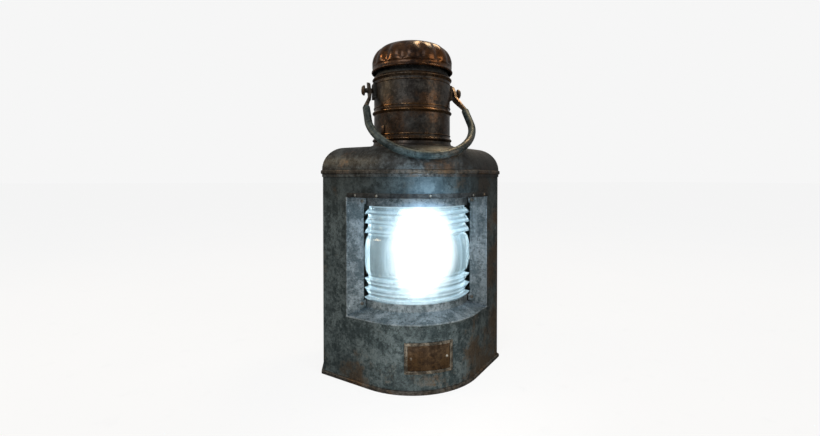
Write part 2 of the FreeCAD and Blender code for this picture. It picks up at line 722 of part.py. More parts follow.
def lens_clips():
    """Four small plates that hold the ends of the rings, each with a round-headed screw."""
    clips = []
    screws = []
    run = Vector(size(LIP_X) - size(WINDOW_X), size(LIP_Y) - size(WINDOW_Y), 0).normalize()
    gauge = size("wall")
    for hand in (-1, 1):
        along = Vector(run.x * hand, run.y, 0)
        outward = Vector(run.y * hand, -run.x, 0) * -1
        if outward.y > 0:
            outward = outward * -1
        ring_end = Vector(size(LIP_X) * hand, size(LIP_Y), 0)
        start = ring_end - along * size("clip_width + clip_gap")
        for height in (size(f"{SILL_TOP} + clip_margin"), size(f"{HEAD} - clip_margin")):
            plate = Part.makeBox(size("clip_width"), gauge, size("clip_height"),
                                 Vector(0, 0, -size("clip_height / 2")))
            turn = FreeCAD.Rotation(along, outward, Vector(0, 0, 1), "XYZ")
            base = start + Vector(0, 0, height)
            plate.Placement = FreeCAD.Placement(base, turn)
            seat = base + along * size("clip_width / 2") + outward * gauge
            clips.append(plate)
            screws.append(dome(seat, outward, size("bolt_head_radius"), size("bolt_head_rise")))
    fasteners("lens_clips", clips)
    fasteners("clip_screws", screws)


def drip_strip():
    """The gutter over the window: a ledge and an upright lip along the front."""
    part = body("drip_strip")
    reach = "window_width / 2 - 1"
    ledge = front_band(reach, "0", "drip_stand")
    pad(part, sketch(part, "XY_Plane", ledge, shift=HEAD), "wall")
    lip = front_band(reach, "drip_stand - wall", "drip_stand")
    pad(part, sketch(part, "XY_Plane", lip, shift=HEAD), "drip_rise")
    heads = []
    for share in (-0.9, -0.65, 0, 0.65, 0.9):
        x = share * size(WINDOW_X)
        place, outward = front_place(x, size("drip_stand"), size(f"{HEAD} + drip_rise / 2"))
        heads.append(dome(place, outward, size("rivet_radius"), size("rivet_rise")))
    fasteners("drip_strip_rivets", heads)


def name_plate():
    """A blank plate in a raised frame, held by two rivets."""
    half = "plate_width / 2"
    low = "plate_middle - plate_height / 2"
    frame = body("nameplate_frame")
    pad(frame, sketch(frame, "XY_Plane", nose_band(half, "0", "frame_depth"), shift=low), "plate_height")
    inside = rectangle(f"-({half} - frame_bar)", f"{half} - frame_bar",
                       f"{low} + frame_bar", f"{low} + plate_height - frame_bar")
    pocket(frame, sketch(frame, "XZ_Plane", inside), "nose_radius + frame_depth", Reversed=True)
    plate = body("nameplate")
    band = nose_band(f"{half} - frame_bar - slip", "0", "plate_depth")
    pad(plate, sketch(plate, "XY_Plane", band, shift=f"{low} + frame_bar + slip"),
        "plate_height - 2 * frame_bar - 2 * slip")
    heads = []
    for hand in (-1, 1):
        x = hand * size(f"{half} - frame_bar - rivet_inset")
        place, outward = front_place(x, size("plate_depth"), size("plate_middle"))
        heads.append(dome(place, outward, size("rivet_radius"), size("rivet_rise")))
    fasteners("nameplate_rivets", heads)


# ---------------------------------------------------------------- the chimney

def chimney_foot():
    """The spun foot: a flange on the roof and a short cone up to the tube."""
    spin(body("chimney_foot"), [
        (FLUE, ROOF_TOP),
        (FOOT, ROOF_TOP),
        (FOOT, f"{ROOF_TOP} + foot_edge"),
        (f"{FOOT} - wall", f"{ROOF_TOP} + foot_edge"),
        (f"{FOOT} - wall", f"{ROOF_TOP} + 2 * wall"),
        ("chimney_radius + wall", f"{RING_LOW} - ring_height / 2 - tube_lap"),
        ("chimney_radius + wall", f"{RING_LOW} - ring_height / 2"),
        ("chimney_radius", f"{RING_LOW} - ring_height / 2"),
        ("chimney_radius", f"{RING_LOW} - ring_height / 2 - tube_lap"),
        (f"{FOOT} - 3 * wall", f"{ROOF_TOP} + wall"),
        (FLUE, f"{ROOF_TOP} + wall"),
    ])


def chimney_tube():
    """The plain tube, drilled on both sides for the bail's pins."""
    part = body("chimney_tube")
    spin(part, rectangle("chimney_radius - wall", "chimney_radius",
                         f"{RING_LOW} - ring_height / 2 - tube_lap", CHIMNEY_TOP))
    for towards_right in (True, False):
        hole = sketch(part, "YZ_Plane", ("0", PIVOT, "pin_radius"))
        pocket(part, hole, "chimney_radius + wall", Reversed=towards_right)


def chimney_rings():
    """Three half-round rings swaged round the tube."""
    middles = (("lower", RING_LOW), ("middle", RING_MID),
               ("upper", f"{CHIMNEY_TOP} - ring_height / 2"))
    stand = f"({RING} - chimney_radius)"
    for name, middle in middles:
        half = "ring_height / 2"
        spin(body("chimney_ring_" + name), [
            ("chimney_radius", f"{middle} - {half}"),
            (f"chimney_radius + {stand} / 2", f"{middle} - {half}"),
            (RING, f"{middle} - {half} / 2"),
            (RING, f"{middle} + {half} / 2"),
            (f"chimney_radius + {stand} / 2", f"{middle} + {half}"),
            ("chimney_radius", f"{middle} + {half}"),
        ])


def chimney_neck():
    """The closing ring on the tube and the narrower neck that carries the cap."""
    spin(body("chimney_neck"), [
        (f"{NECK} - wall", f"{CHIMNEY_TOP} - neck_lap"),
        (NECK, f"{CHIMNEY_TOP} - neck_lap"),
        (NECK, CHIMNEY_TOP),
        ("chimney_radius", CHIMNEY_TOP),
        ("chimney_radius", f"{CHIMNEY_TOP} + wall"),
        (NECK, f"{CHIMNEY_TOP} + wall"),
        (NECK, NECK_TOP),
        (f"{NECK} - wall", NECK_TOP),
    ])


def cap():
    """The fluted cap: a plain band, a round shoulder with hollows, and a flat crown."""
    part = body("cap")
    shoulder = f"({CAP_TOP} - {CAP_FOOT} - cap_band)"
    bend = f"({CAP} - {CAP_CROWN})"
    level = f"({CAP_TOP} - {bend})"
    thick = "(wall + flute_depth)"
    spin(part, [
        (f"{CAP} - wall", CAP_FOOT),
        (CAP, CAP_FOOT),
        (CAP, level, "left", CAP_CROWN, level),
        (CAP_CROWN, CAP_TOP),
        ("0", CAP_TOP),
        ("0", f"{CAP_TOP} - {thick}"),
        (CAP_CROWN, f"{CAP_TOP} - {thick}", "right", CAP_CROWN, level),
        (f"{CAP} - {thick}", level),
        (f"{CAP} - {thick}", f"{NECK_TOP} - wall"),
        (f"{CAP} - wall", f"{NECK_TOP} - wall"),
    ])
    hollow = ("0", f"{CAP} + flute_radius - flute_depth", "flute_radius")
    profile = sketch(part, "XY_Plane", hollow, shift=NECK_TOP)
    polar(part, pocket(part, profile, shoulder, Reversed=True), "flute_count")


def cap_inner():
    """The rain baffle in the cap, and the three stays between neck and cap."""
    baffle = body("chimney_baffle")
    spin(baffle, rectangle("0", BAFFLE, f"{NECK_TOP} + baffle_rise", f"{NECK_TOP} + baffle_rise + wall"))
    stay = body("cap_stays")
    low, high = f"{CAP_FOOT} + stay_margin", f"{NECK_TOP} - wall - stay_margin"
    blade = rectangle(NECK, f"{CAP} - wall - slip", low, high)
    first = pad(stay, sketch(stay, "XZ_Plane", blade), "stay_gauge", Midplane=True)
    polar(stay, first, "stay_count")


# ---------------------------------------------------------------- the bail

def bail_lug(side):
    """The saddle plate on the chimney tube that carries one pivot pin."""
    part = body("bail_lug_" + side)
    hand = "" if side == "right" else "-"
    outer = "(chimney_radius + lug_depth)"
    plate = rectangle("-lug_width / 2", "lug_width / 2", f"{PIVOT} - lug_height / 2",
                      f"{PIVOT} + lug_height / 2 - 2")
    pad(part, sketch(part, "YZ_Plane", plate, shift=f"{hand}{outer}"), "lug_depth * 2.5",
        Reversed=side == "right")
    inside = sketch(part, "XY_Plane", ("0", "0", "chimney_radius"))
    pocket(part, inside, CHIMNEY_TOP, Reversed=True)
    hole = sketch(part, "YZ_Plane", ("0", PIVOT, "pin_radius"), shift=f"{hand}{outer}")
    pocket(part, hole, "lug_depth * 2.5", Reversed=side == "left")


def bail_pin(side):
    """A mushroom-headed pin through the lug, with its tail riveted over inside the tube."""
    part = body("bail_pin_" + side)
    hand = 1 if side == "right" else -1
    tail = "(chimney_radius - wall - tail_rise)"
    outline = [
        ("0", tail),
        ("pin_radius + tail_spread", tail),
        ("pin_radius + tail_spread", "chimney_radius - wall - tail_gap"),
        ("pin_radius", "chimney_radius - wall - tail_gap"),
        ("pin_radius", f"{PIN_REACH} - pin_head_depth"),
        ("pin_head_radius", f"{PIN_REACH} - pin_head_depth"),
        ("pin_head_radius", f"{PIN_REACH} - pin_head_depth * 0.55"),
        ("pin_head_radius * 0.72", f"{PIN_REACH} - pin_head_depth * 0.12"),
        ("pin_head_radius * 0.4", PIN_REACH),
        ("0", PIN_REACH),
    ]
    spin(part, outline)
    part.Placement = FreeCAD.Placement(Vector(), FreeCAD.Rotation(Vector(0, 1, 0), 90 * hand))
    part.setExpression(".Placement.Base.z", bound(PIVOT))


SHOULDER_Y = f"(nose_radius + {ROOF_OFFSET} - roof_round)"
SHOULDER_Z = f"({PIVOT} - {ROOF_TOP} + roof_round)"
SHOULDER = f"sqrt(pow({SHOULDER_Y}; 2) + pow({SHOULDER_Z}; 2))"
REST = "(roof_round + grip_radius + bail_rest_gap)"
BAIL_ANGLE = (f"atan({SHOULDER_Y} / {SHOULDER_Z}) + acos((pow({SHOULDER}; 2) + pow(bail_depth; 2)"
              f" - pow({REST}; 2)) / (2 * {SHOULDER} * bail_depth))")


def leaning(part):
    """Leans a part that is drawn hanging straight down from the pivot axis."""
    part.Placement = FreeCAD.Placement(Vector(), FreeCAD.Rotation(Vector(1, 0, 0), -1))
    part.setExpression(".Placement.Base.z", bound(PIVOT))
    part.setExpression(".Placement.Rotation.Angle", bound(f"-({BAIL_ANGLE})"))


GRIP_BEND = (f"((pow({BAIL_HALF} - bail_corner; 2) + pow(bail_depth - bail_leg; 2) - pow(bail_corner; 2))"
             " / (2 * (bail_depth - bail_leg - bail_corner)))")


def bail_path(part, start):
    """The bail's centre line: down a leg, round a corner, along the grip and up again."""
    path = part.newObject("Sketcher::SketchObject", part.Name + "_path")
    front = [f for f in part.Origin.OriginFeatures if f.Role == "XZ_Plane"][0]
    path.AttachmentSupport = [(front, "")]
    path.MapMode = "FlatFace"
    corner_x = f"({BAIL_HALF} - bail_corner)"
    share = f"(bail_corner / ({GRIP_BEND} - bail_corner))"
    meet_x = f"({corner_x} * (1 + {share}))"
    meet_y = f"(-bail_leg + {share} * (bail_depth - bail_leg - {GRIP_BEND}))"
    grip_y = f"({GRIP_BEND} - bail_depth)"
    draw_loop(path, [
        (f"-{BAIL_HALF}", f"-({start})"),
        (f"-{BAIL_HALF}", "-bail_leg", "left", f"-{corner_x}", "-bail_leg"),
        (f"-{meet_x}", meet_y, "left", "0", grip_y),
        (meet_x, meet_y, "left", corner_x, "-bail_leg"),
        (BAIL_HALF, "-bail_leg"),
        (BAIL_HALF, f"-({start})"),
    ], closed=False)
    doc.recompute()
    return path


def bail_pipe(part, radius, start, kind="AdditivePipe"):
    """A round section swept along the bail's centre line."""
    ring = sketch(part, "XY_Plane", (f"-{BAIL_HALF}", "0", radius), shift=f"-({start})")
    pipe = part.newObject("PartDesign::" + kind, part.Name + "_pipe")
    pipe.Profile = ring
    pipe.Spine = bail_path(part, start)
    doc.recompute()
    return pipe


def bail_rod():
    """The round rod of the bail with its two flattened, pointed ends."""
    part = body("bail_rod")
    start = "grip_start - sleeve_lap"
    bail_pipe(part, "rod_radius", start)
    for hand in ("", "-"):
        middle = f"{hand}{PADDLE}"
        low = f"{middle} - paddle_gauge / 2"
        high = f"{middle} + paddle_gauge / 2"
        foot = rectangle(low, high, "-paddle_width / 3", "paddle_width / 3")
        section = sketch(part, "XY_Plane", foot, shift="-paddle_width")
        ring = sketch(part, "XY_Plane", (f"{hand}{BAIL_HALF}", "0", "rod_radius"), shift=f"-({start})")
        neck = part.newObject("PartDesign::AdditiveLoft", "bail_neck")
        neck.Profile = section
        neck.Sections = [ring]
        doc.recompute()
        blade = [
            ("-paddle_width / 3", "-paddle_width"),
            ("paddle_width / 3", "-paddle_width"),
            ("paddle_width / 2", "-paddle_width / 4"),
            ("paddle_width / 2", "paddle_tip / 3"),
            ("0", "paddle_tip"),
            ("-paddle_width / 2", "paddle_tip / 3"),
            ("-paddle_width / 2", "-paddle_width / 4"),
        ]
        pad(part, sketch(part, "YZ_Plane", blade, shift=low), "paddle_gauge")
        hole = sketch(part, "YZ_Plane", ("0", "0", "pin_radius + pivot_play"), shift=low)
        pocket(part, hole, "paddle_gauge", Reversed=True)
    leaning(part)


def bail_grip():
    """The sheet sleeve rolled round the rod."""
    part = body("bail_grip")
    bail_pipe(part, "grip_radius", "grip_start")
    bail_pipe(part, "rod_radius + slip", "grip_start", "SubtractivePipe")
    leaning(part)


# ---------------------------------------------------------------- the door at the back

HINGE_X = "-(door_width / 2 + hinge_inset)"
HINGE_Y = f"({PANEL_BACK} + hinge_radius + door_gap)"
HINGE_LOW = f"(door_low + (door_height - {HINGE_LENGTH}) / 2)"
DOOR_MIDDLE = "(door_low + door_height / 2)"


def rear_door():
    """The door: a shallow tray that laps over its opening."""
    part = body("rear_door")
    half = "door_width / 2"
    top = "door_low + door_height"
    sheet = rectangle(f"-({half})", half, "door_low", top)
    pad(part, sketch(part, "XZ_Plane", sheet, shift=f"-{DOOR_OUTER}"), f"{DOOR_OUTER} - {DOOR_INNER}")
    inside = rectangle(f"-({half} - wall)", f"{half} - wall", "door_low + wall", f"{top} - wall")
    pocket(part, sketch(part, "XZ_Plane", inside, shift=f"-{DOOR_INNER}"),
           f"{DOOR_OUTER} - {DOOR_INNER} - wall")


def hinge_leaf(label, owner):
    """One leaf of the long door hinge and its share of the five knuckles."""
    part = body(label)
    gap = "knuckle_gap / 2"
    step = f"{HINGE_LENGTH} / 5"
    on_case = owner == "case"
    if on_case:
        leaf = rectangle(f"{HINGE_X} - hinge_leaf", HINGE_X, PANEL_BACK, f"{PANEL_BACK} + wall")
    else:
        leaf = rectangle(HINGE_X, f"{HINGE_X} + hinge_leaf", DOOR_OUTER, f"{DOOR_OUTER} + wall")
    reach = "(hinge_radius + knuckle_gap)"
    pad(part, sketch(part, "XY_Plane", leaf, shift=HINGE_LOW), HINGE_LENGTH)
    for index in ((1, 3) if on_case else (0, 2, 4)):
        low = f"{HINGE_LOW} + {index} * {step} - {gap}"
        notch = rectangle(f"{HINGE_X} - {reach}", f"{HINGE_X} + {reach}",
                          f"{HINGE_Y} - {reach}", f"{HINGE_Y} + {reach}")
        pocket(part, sketch(part, "XY_Plane", notch, shift=low), f"{step} + knuckle_gap", Reversed=True)
    for index in ((0, 2, 4) if on_case else (1, 3)):
        low = f"{HINGE_LOW} + {index} * {step} + {gap}"
        ring = (HINGE_X, HINGE_Y, "hinge_radius")
        pad(part, sketch(part, "XY_Plane", ring, shift=low), f"{step} - knuckle_gap")
    play = "0" if on_case else "pivot_play"
    bore = (HINGE_X, HINGE_Y, f"hinge_pin_radius + {play}")
    pocket(part, sketch(part, "XY_Plane", bore, shift=HINGE_LOW), HINGE_LENGTH, Reversed=True)


def hinge_pin():
    part = body("door_hinge_pin")
    rod = (HINGE_X, HINGE_Y, "hinge_pin_radius")
    pad(part, sketch(part, "XY_Plane", rod, shift=HINGE_LOW), HINGE_LENGTH)
    head = (HINGE_X, HINGE_Y, "hinge_radius * 0.65")
    pad(part, sketch(part, "XY_Plane", head, shift=f"{HINGE_LOW} + {HINGE_LENGTH}"), "hinge_pin_radius")


def facing_back(part, x, z):
    """Turns a part that is spun about Z to stand on the back of the lantern at x and z."""
    part.Placement = FreeCAD.Placement(Vector(), FreeCAD.Rotation(Vector(1, 0, 0), -90))
    part.setExpression(".Placement.Base.x", bound(x))
    part.setExpression(".Placement.Base.z", bound(z))


def door_knob():
    part = body("door_knob")
    spin(part, [
        ("0", DOOR_OUTER),
        ("knob_radius * 0.75", DOOR_OUTER),
        ("knob_radius * 0.75", f"{DOOR_OUTER} + 1.5"),
        ("knob_radius * 0.45", f"{DOOR_OUTER} + 3"),
        ("knob_radius * 0.45", f"{DOOR_OUTER} + knob_depth * 0.45"),
        ("knob_radius", f"{DOOR_OUTER} + knob_depth * 0.6"),
        ("knob_radius", f"{DOOR_OUTER} + knob_depth * 0.85"),
        ("knob_radius * 0.7", f"{DOOR_OUTER} + knob_depth"),
        ("0", f"{DOOR_OUTER} + knob_depth"),
    ])
    facing_back(part, "knob_place", DOOR_MIDDLE)


LATCH_LOW = f"({DOOR_OUTER} + wall + door_gap)"


def latch():
    """A turn button on a stud beside the door. It hangs clear of the door and turns over its edge."""
    stud = body("latch_stud")
    spin(stud, [
        ("0", f"{PANEL_FRONT} - 1.2"),
        ("stud_radius + 1.5", f"{PANEL_FRONT} - 1.2"),
        ("stud_radius + 1.5", PANEL_FRONT),
        ("stud_radius", PANEL_FRONT),
        ("stud_radius", PANEL_BACK),
        ("stud_radius + 2.5", PANEL_BACK),
        ("stud_radius + 2.5", f"{LATCH_LOW} - knuckle_gap"),
        ("stud_radius", f"{LATCH_LOW} - knuckle_gap"),
        ("stud_radius", f"{LATCH_LOW} + latch_gauge + knuckle_gap"),
        ("stud_radius + 2.2", f"{LATCH_LOW} + latch_gauge + knuckle_gap"),
        ("stud_radius + 1.4", f"{LATCH_LOW} + latch_gauge + 2.2"),
        ("0", f"{LATCH_LOW} + latch_gauge + 2.2"),
    ])
    facing_back(stud, "latch_place", DOOR_MIDDLE)
    button = body("latch_button")
    half = "latch_width / 2"
    outline = [
        (f"latch_place - {half}", f"{DOOR_MIDDLE} - latch_length + {half}", "left",
         "latch_place", f"{DOOR_MIDDLE} - latch_length + {half}"),
        (f"latch_place + {half}", f"{DOOR_MIDDLE} - latch_length + {half}"),
        (f"latch_place + {half}", DOOR_MIDDLE, "left", "latch_place", DOOR_MIDDLE),
        (f"latch_place - {half}", DOOR_MIDDLE),
    ]
    hole = ("latch_place", DOOR_MIDDLE, "stud_radius + pivot_play")
    profile = sketch(button, "XZ_Plane", outline, hole, shift=f"-({LATCH_LOW} + latch_gauge)")
    pad(button, profile, "latch_gauge")


def hanger(name, low):
    """A top-hat strap on the back that bolts to a bulkhead."""
    part = body("hanger_" + name)
    half = "hanger_width / 2"
    rear = "hanger_reach"
    hat = [
        (f"-({half} + hanger_foot)", PANEL_BACK),
        (f"-({half} - hanger_gauge)", PANEL_BACK),
        (f"-({half} - hanger_gauge)", f"{rear} - hanger_gauge"),
        (f"{half} - hanger_gauge", f"{rear} - hanger_gauge"),
        (f"{half} - hanger_gauge", PANEL_BACK),
        (f"{half} + hanger_foot", PANEL_BACK),
        (f"{half} + hanger_foot", f"{PANEL_BACK} + hanger_gauge"),
        (half, f"{PANEL_BACK} + hanger_gauge"),
        (half, rear),
        (f"-({half})", rear),
        (f"-({half})", f"{PANEL_BACK} + hanger_gauge"),
        (f"-({half} + hanger_foot)", f"{PANEL_BACK} + hanger_gauge"),
    ]
    pad(part, sketch(part, "XY_Plane", hat, shift=low), "hanger_height")
    middle = f"{low} + hanger_height / 2"
    bolts = [(f"{hand}bolt_spacing / 2", middle, "bolt_radius") for hand in ("", "-")]
    pocket(part, sketch(part, "XZ_Plane", *bolts, shift=f"-({rear})"), "hanger_gauge", Reversed=True)


def hanger_rivets():
    heads = []
    for hand in (-1, 1):
        x = hand * size("(hanger_width + hanger_foot) / 2")
        for low in (HANGER_LOW, HANGER_HIGH):
            for share in (0.25, 0.75):
                z = size(f"{low} + {share} * hanger_height")
                place = Vector(x, size(f"{PANEL_BACK} + hanger_gauge"), z)
                heads.append(dome(place, Vector(0, 1, 0), size("bolt_head_radius"), size("bolt_head_rise")))
    fasteners("hanger_rivets", heads)


# ---------------------------------------------------------------- the lamp inside

REFLECTOR_LOW = "(post_top + post_flange)"
HOLDER_LOW = f"({REFLECTOR_LOW} + reflector_gauge)"
HOLDER_TOP = f"({HOLDER_LOW} + holder_height)"


def lamp_post():
    spin(body("lamp_post"), [
        ("post_radius - post_wall", "base_gauge"),
        ("post_foot", "base_gauge"),
        ("post_foot", "base_gauge + post_flange"),
        ("post_radius", "base_gauge + post_flange"),
        ("post_radius", "post_top"),
        ("holder_radius", "post_top"),
        ("holder_radius", REFLECTOR_LOW),
        ("post_radius - post_wall", REFLECTOR_LOW),
    ])


def reflector():
    """A bright sheet behind the bulb, with a foot that is clamped under the lamp holder."""
    outer = "(reflector_radius + reflector_gauge)"
    corners = [
        ("post_radius", REFLECTOR_LOW),
        (outer, REFLECTOR_LOW),
        (outer, "reflector_top"),
        ("reflector_radius", "reflector_top"),
        ("reflector_radius", HOLDER_LOW),
        ("post_radius", HOLDER_LOW),
    ]
    spin_sector(body("reflector"), corners, "reflector_angle", "")


def lamp_holder():
    """A cup-shaped lamp holder."""
    spin(body("lamp_holder"), [
        ("0", HOLDER_LOW),
        ("holder_radius", HOLDER_LOW),
        ("holder_radius", f"{HOLDER_TOP} - holder_taper"),
        ("holder_radius - holder_taper / 4", HOLDER_TOP),
        ("cap_shell + slip", HOLDER_TOP),
        ("cap_shell + slip", f"{HOLDER_TOP} - socket_depth"),
        ("0", f"{HOLDER_TOP} - socket_depth"),
    ])


def bulb():
    """The bulb: its metal cap and its hollow glass."""
    low = f"({HOLDER_TOP} - socket_depth + slip)"
    seam = f"({HOLDER_TOP} + cap_stand)"
    spin(body("bulb_cap"), [
        ("0", low),
        ("cap_contact", low),
        ("cap_shell", f"{low} + cap_contact"),
        ("cap_shell", seam),
        ("0", seam),
    ])
    rise = "sqrt(pow(bulb_radius; 2) - pow(bulb_neck; 2))"
    inner_neck = "(bulb_neck - bulb_gauge)"
    inner = "(bulb_radius - bulb_gauge)"
    inner_rise = f"sqrt(pow({inner}; 2) - pow({inner_neck}; 2))"
    spin(body("bulb_glass"), [
        (inner_neck, seam),
        ("bulb_neck", seam),
        ("bulb_neck", f"{LENS_MIDDLE} - {rise}", "left", "0", LENS_MIDDLE),
        ("0", f"{LENS_MIDDLE} + bulb_radius"),
        ("0", f"{LENS_MIDDLE} + {inner}", "right", "0", LENS_MIDDLE),
        (inner_neck, f"{LENS_MIDDLE} - {inner_rise}"),
    ])


def wiring():
    """The terminal block on the base, and the cable gland with its nut in the back panel."""
    block = body("terminal_block")
    outline = rectangle("block_place", "block_place + block_length", "block_width", "2 * block_width")
    pad(block, sketch(block, "XY_Plane", outline, shift="base_gauge"), "block_width")
    gland = body("cable_gland")
    spin(gland, [
        ("gland_bore", f"{PANEL_FRONT} - gland_tail"),
        ("gland_radius", f"{PANEL_FRONT} - gland_tail"),
        ("gland_radius", PANEL_BACK),
        ("gland_radius + 3", PANEL_BACK),
        ("gland_radius + 3", f"{PANEL_BACK} + gland_collar"),
        ("gland_radius + 1", f"{PANEL_BACK} + gland_collar + 2"),
        ("gland_radius + 1", f"{PANEL_BACK} + gland_reach - 3"),
        ("gland_radius - 1", f"{PANEL_BACK} + gland_reach"),
        ("gland_bore", f"{PANEL_BACK} + gland_reach"),
    ])
    facing_back(gland, "gland_place", "gland_height")
    nut = body("gland_nut")
    spin(nut, rectangle("gland_radius", "gland_radius + 4", f"{PANEL_FRONT} - gland_collar", PANEL_FRONT))
    facing_back(nut, "gland_place", "gland_height")


# ---------------------------------------------------------------- build, test and write

body_shell()
base_plate()
rolled_edge("base_bead", "0", "0")
back_panel()
roof()
rolled_edge("rim_bead", "(case_height - 1)", ROOF_OFFSET)
window_sill()
window_head()
for side in ("left", "right"):
    reveal(side)
lens_seats()
lens()
lens_seals()
lens_clips()
drip_strip()
name_plate()
chimney_foot()
chimney_tube()
chimney_rings()
chimney_neck()
cap()
cap_inner()
for side in ("left", "right"):
    bail_lug(side)
    bail_pin(side)
bail_rod()
bail_grip()
rear_door()
hinge_leaf("hinge_leaf_case", "case")
hinge_leaf("hinge_leaf_door", "door")
hinge_pin()
door_knob()
latch()
hanger("lower", HANGER_LOW)
hanger("upper", HANGER_HIGH)
hanger_rivets()
lamp_post()
reflector()
lamp_holder()
bulb()
wiring()
doc.recompute()

for item in doc.Objects:
    if "Invalid" in item.State or "Error" in item.State:
        raise ValueError(f"{item.Label}: {item.State}")
for node in NODES:
    if node.Shape.isNull() or not node.Shape.isValid() or not node.Shape.Solids:
        raise ValueError(f"{node.Label} has no sound shape")

os.makedirs("parts", exist_ok=True)
for node in NODES:
    node.Shape.exportStep(f"parts/{node.Label}.step")
print(len(NODES), "sub-parts written")
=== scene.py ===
# %% [markdown]
# # A ship's lantern
# The real lantern is folded from copper sheet that the sea has darkened: a case with a round nose,
# a window niche with a dioptric lens, a roof, a chimney and a fluted cap. The engineering model
# already holds every plate in its place, so this lesson starts from it. Plates that are right stay
# and only get a finish. Pieces whose charm is in soft edges are made again, more finely, around it.

# %% Load the engineering model
import json
import math

import bmesh
import bpy
from mathutils import Matrix, Vector


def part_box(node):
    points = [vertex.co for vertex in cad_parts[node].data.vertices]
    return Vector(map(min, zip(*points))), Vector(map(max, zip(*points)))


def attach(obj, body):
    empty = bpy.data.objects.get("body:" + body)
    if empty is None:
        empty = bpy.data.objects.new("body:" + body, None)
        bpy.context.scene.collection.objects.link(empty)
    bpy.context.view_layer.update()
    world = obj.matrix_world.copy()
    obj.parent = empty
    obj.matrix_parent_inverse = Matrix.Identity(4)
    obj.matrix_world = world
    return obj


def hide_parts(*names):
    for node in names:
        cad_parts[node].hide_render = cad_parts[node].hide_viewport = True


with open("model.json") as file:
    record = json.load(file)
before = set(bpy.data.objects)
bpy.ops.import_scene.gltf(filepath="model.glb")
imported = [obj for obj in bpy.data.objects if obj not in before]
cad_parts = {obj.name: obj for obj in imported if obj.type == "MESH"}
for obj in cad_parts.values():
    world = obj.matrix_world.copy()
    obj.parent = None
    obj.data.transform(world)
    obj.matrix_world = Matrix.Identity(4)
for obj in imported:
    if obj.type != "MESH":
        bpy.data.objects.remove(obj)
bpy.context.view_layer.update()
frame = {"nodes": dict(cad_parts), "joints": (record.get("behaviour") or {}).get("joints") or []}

nodes = frame["nodes"]

# %% [markdown]
# ## Sizes
# This script works in metres, a lantern maker in millimetres. Every size is read from the engineering
# model's boxes where it can be, so that a changed lantern still fits its finer pieces.

# %% Sizes read from the model
MM = 0.001
UP = Vector((0, 0, 1))


def low(node):
    """The lowest corner of a node of the engineering model."""
    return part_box(node)[0]


def high(node):
    """The highest corner of a node of the engineering model."""
    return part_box(node)[1]


nose_radius = -low("body_shell").y
roof_level = high("roof").z
tube_radius = high("chimney_tube").x
window_half = high("window_sill").x
window_foot = low("reveal_left").z
window_top = high("reveal_left").z
lens_low, lens_high = low("lens").z, high("lens").z
lens_tip = -low("lens").y
lens_middle = 196 * MM
BELT_HALF = 31 * MM
PRISM = 15 * MM
pivot = next(Vector(j["pos_m"]) for j in frame["joints"] if j["name"] == "bail_swing")
print("nose radius", round(nose_radius, 4), "pivot", tuple(round(v, 4) for v in pivot))

# %% [markdown]
# ## The camera
# The lantern is seen from a little to its left, from close by and level with its window. The lens is
# short and looks down by one degree, so the upright edges lean in only a little towards the foot.

# %% Camera
EYE = Vector((-0.1596, -0.7184, 0.3174))
TURN_RIGHT = math.radians(12.255)
TILT = math.radians(89)

camera_data = bpy.data.cameras.new("Camera")
camera_data.sensor_width = 36
camera_data.lens = 18.697
camera_data.shift_y = -0.0394
camera_data.clip_start = 0.01
camera = bpy.data.objects.new("Camera", camera_data)
camera.location = EYE
camera.rotation_euler = (TILT, 0, -TURN_RIGHT)
bpy.context.scene.collection.objects.link(camera)
bpy.context.scene.camera = camera
print("camera at", tuple(EYE))

# %% [markdown]
# ## Shader maths
# A finish is worked out from patterns: blotches, specks, streaks. Adding nodes by hand hides the
# idea, so two small classes let a finish be written as a sum. `Wire` is one output with Python's
# arithmetic on it. `Finish` is one material with short ways to add nodes.

# %% Wire and Finish
class Wire:
    """One output of a node. Arithmetic on it adds Math nodes."""

    def __init__(self, finish, socket):
        self.finish = finish
        self.socket = socket

    def __add__(self, other):
        return self.finish.maths("ADD", self, other)

    def __sub__(self, other):
        return self.finish.maths("SUBTRACT", self, other)

    def __rsub__(self, other):
        return self.finish.maths("SUBTRACT", other, self)

    def __mul__(self, other):
        return self.finish.maths("MULTIPLY", self, other)

    def __pow__(self, other):
        return self.finish.maths("POWER", self, other)

    __radd__ = __add__
    __rmul__ = __mul__


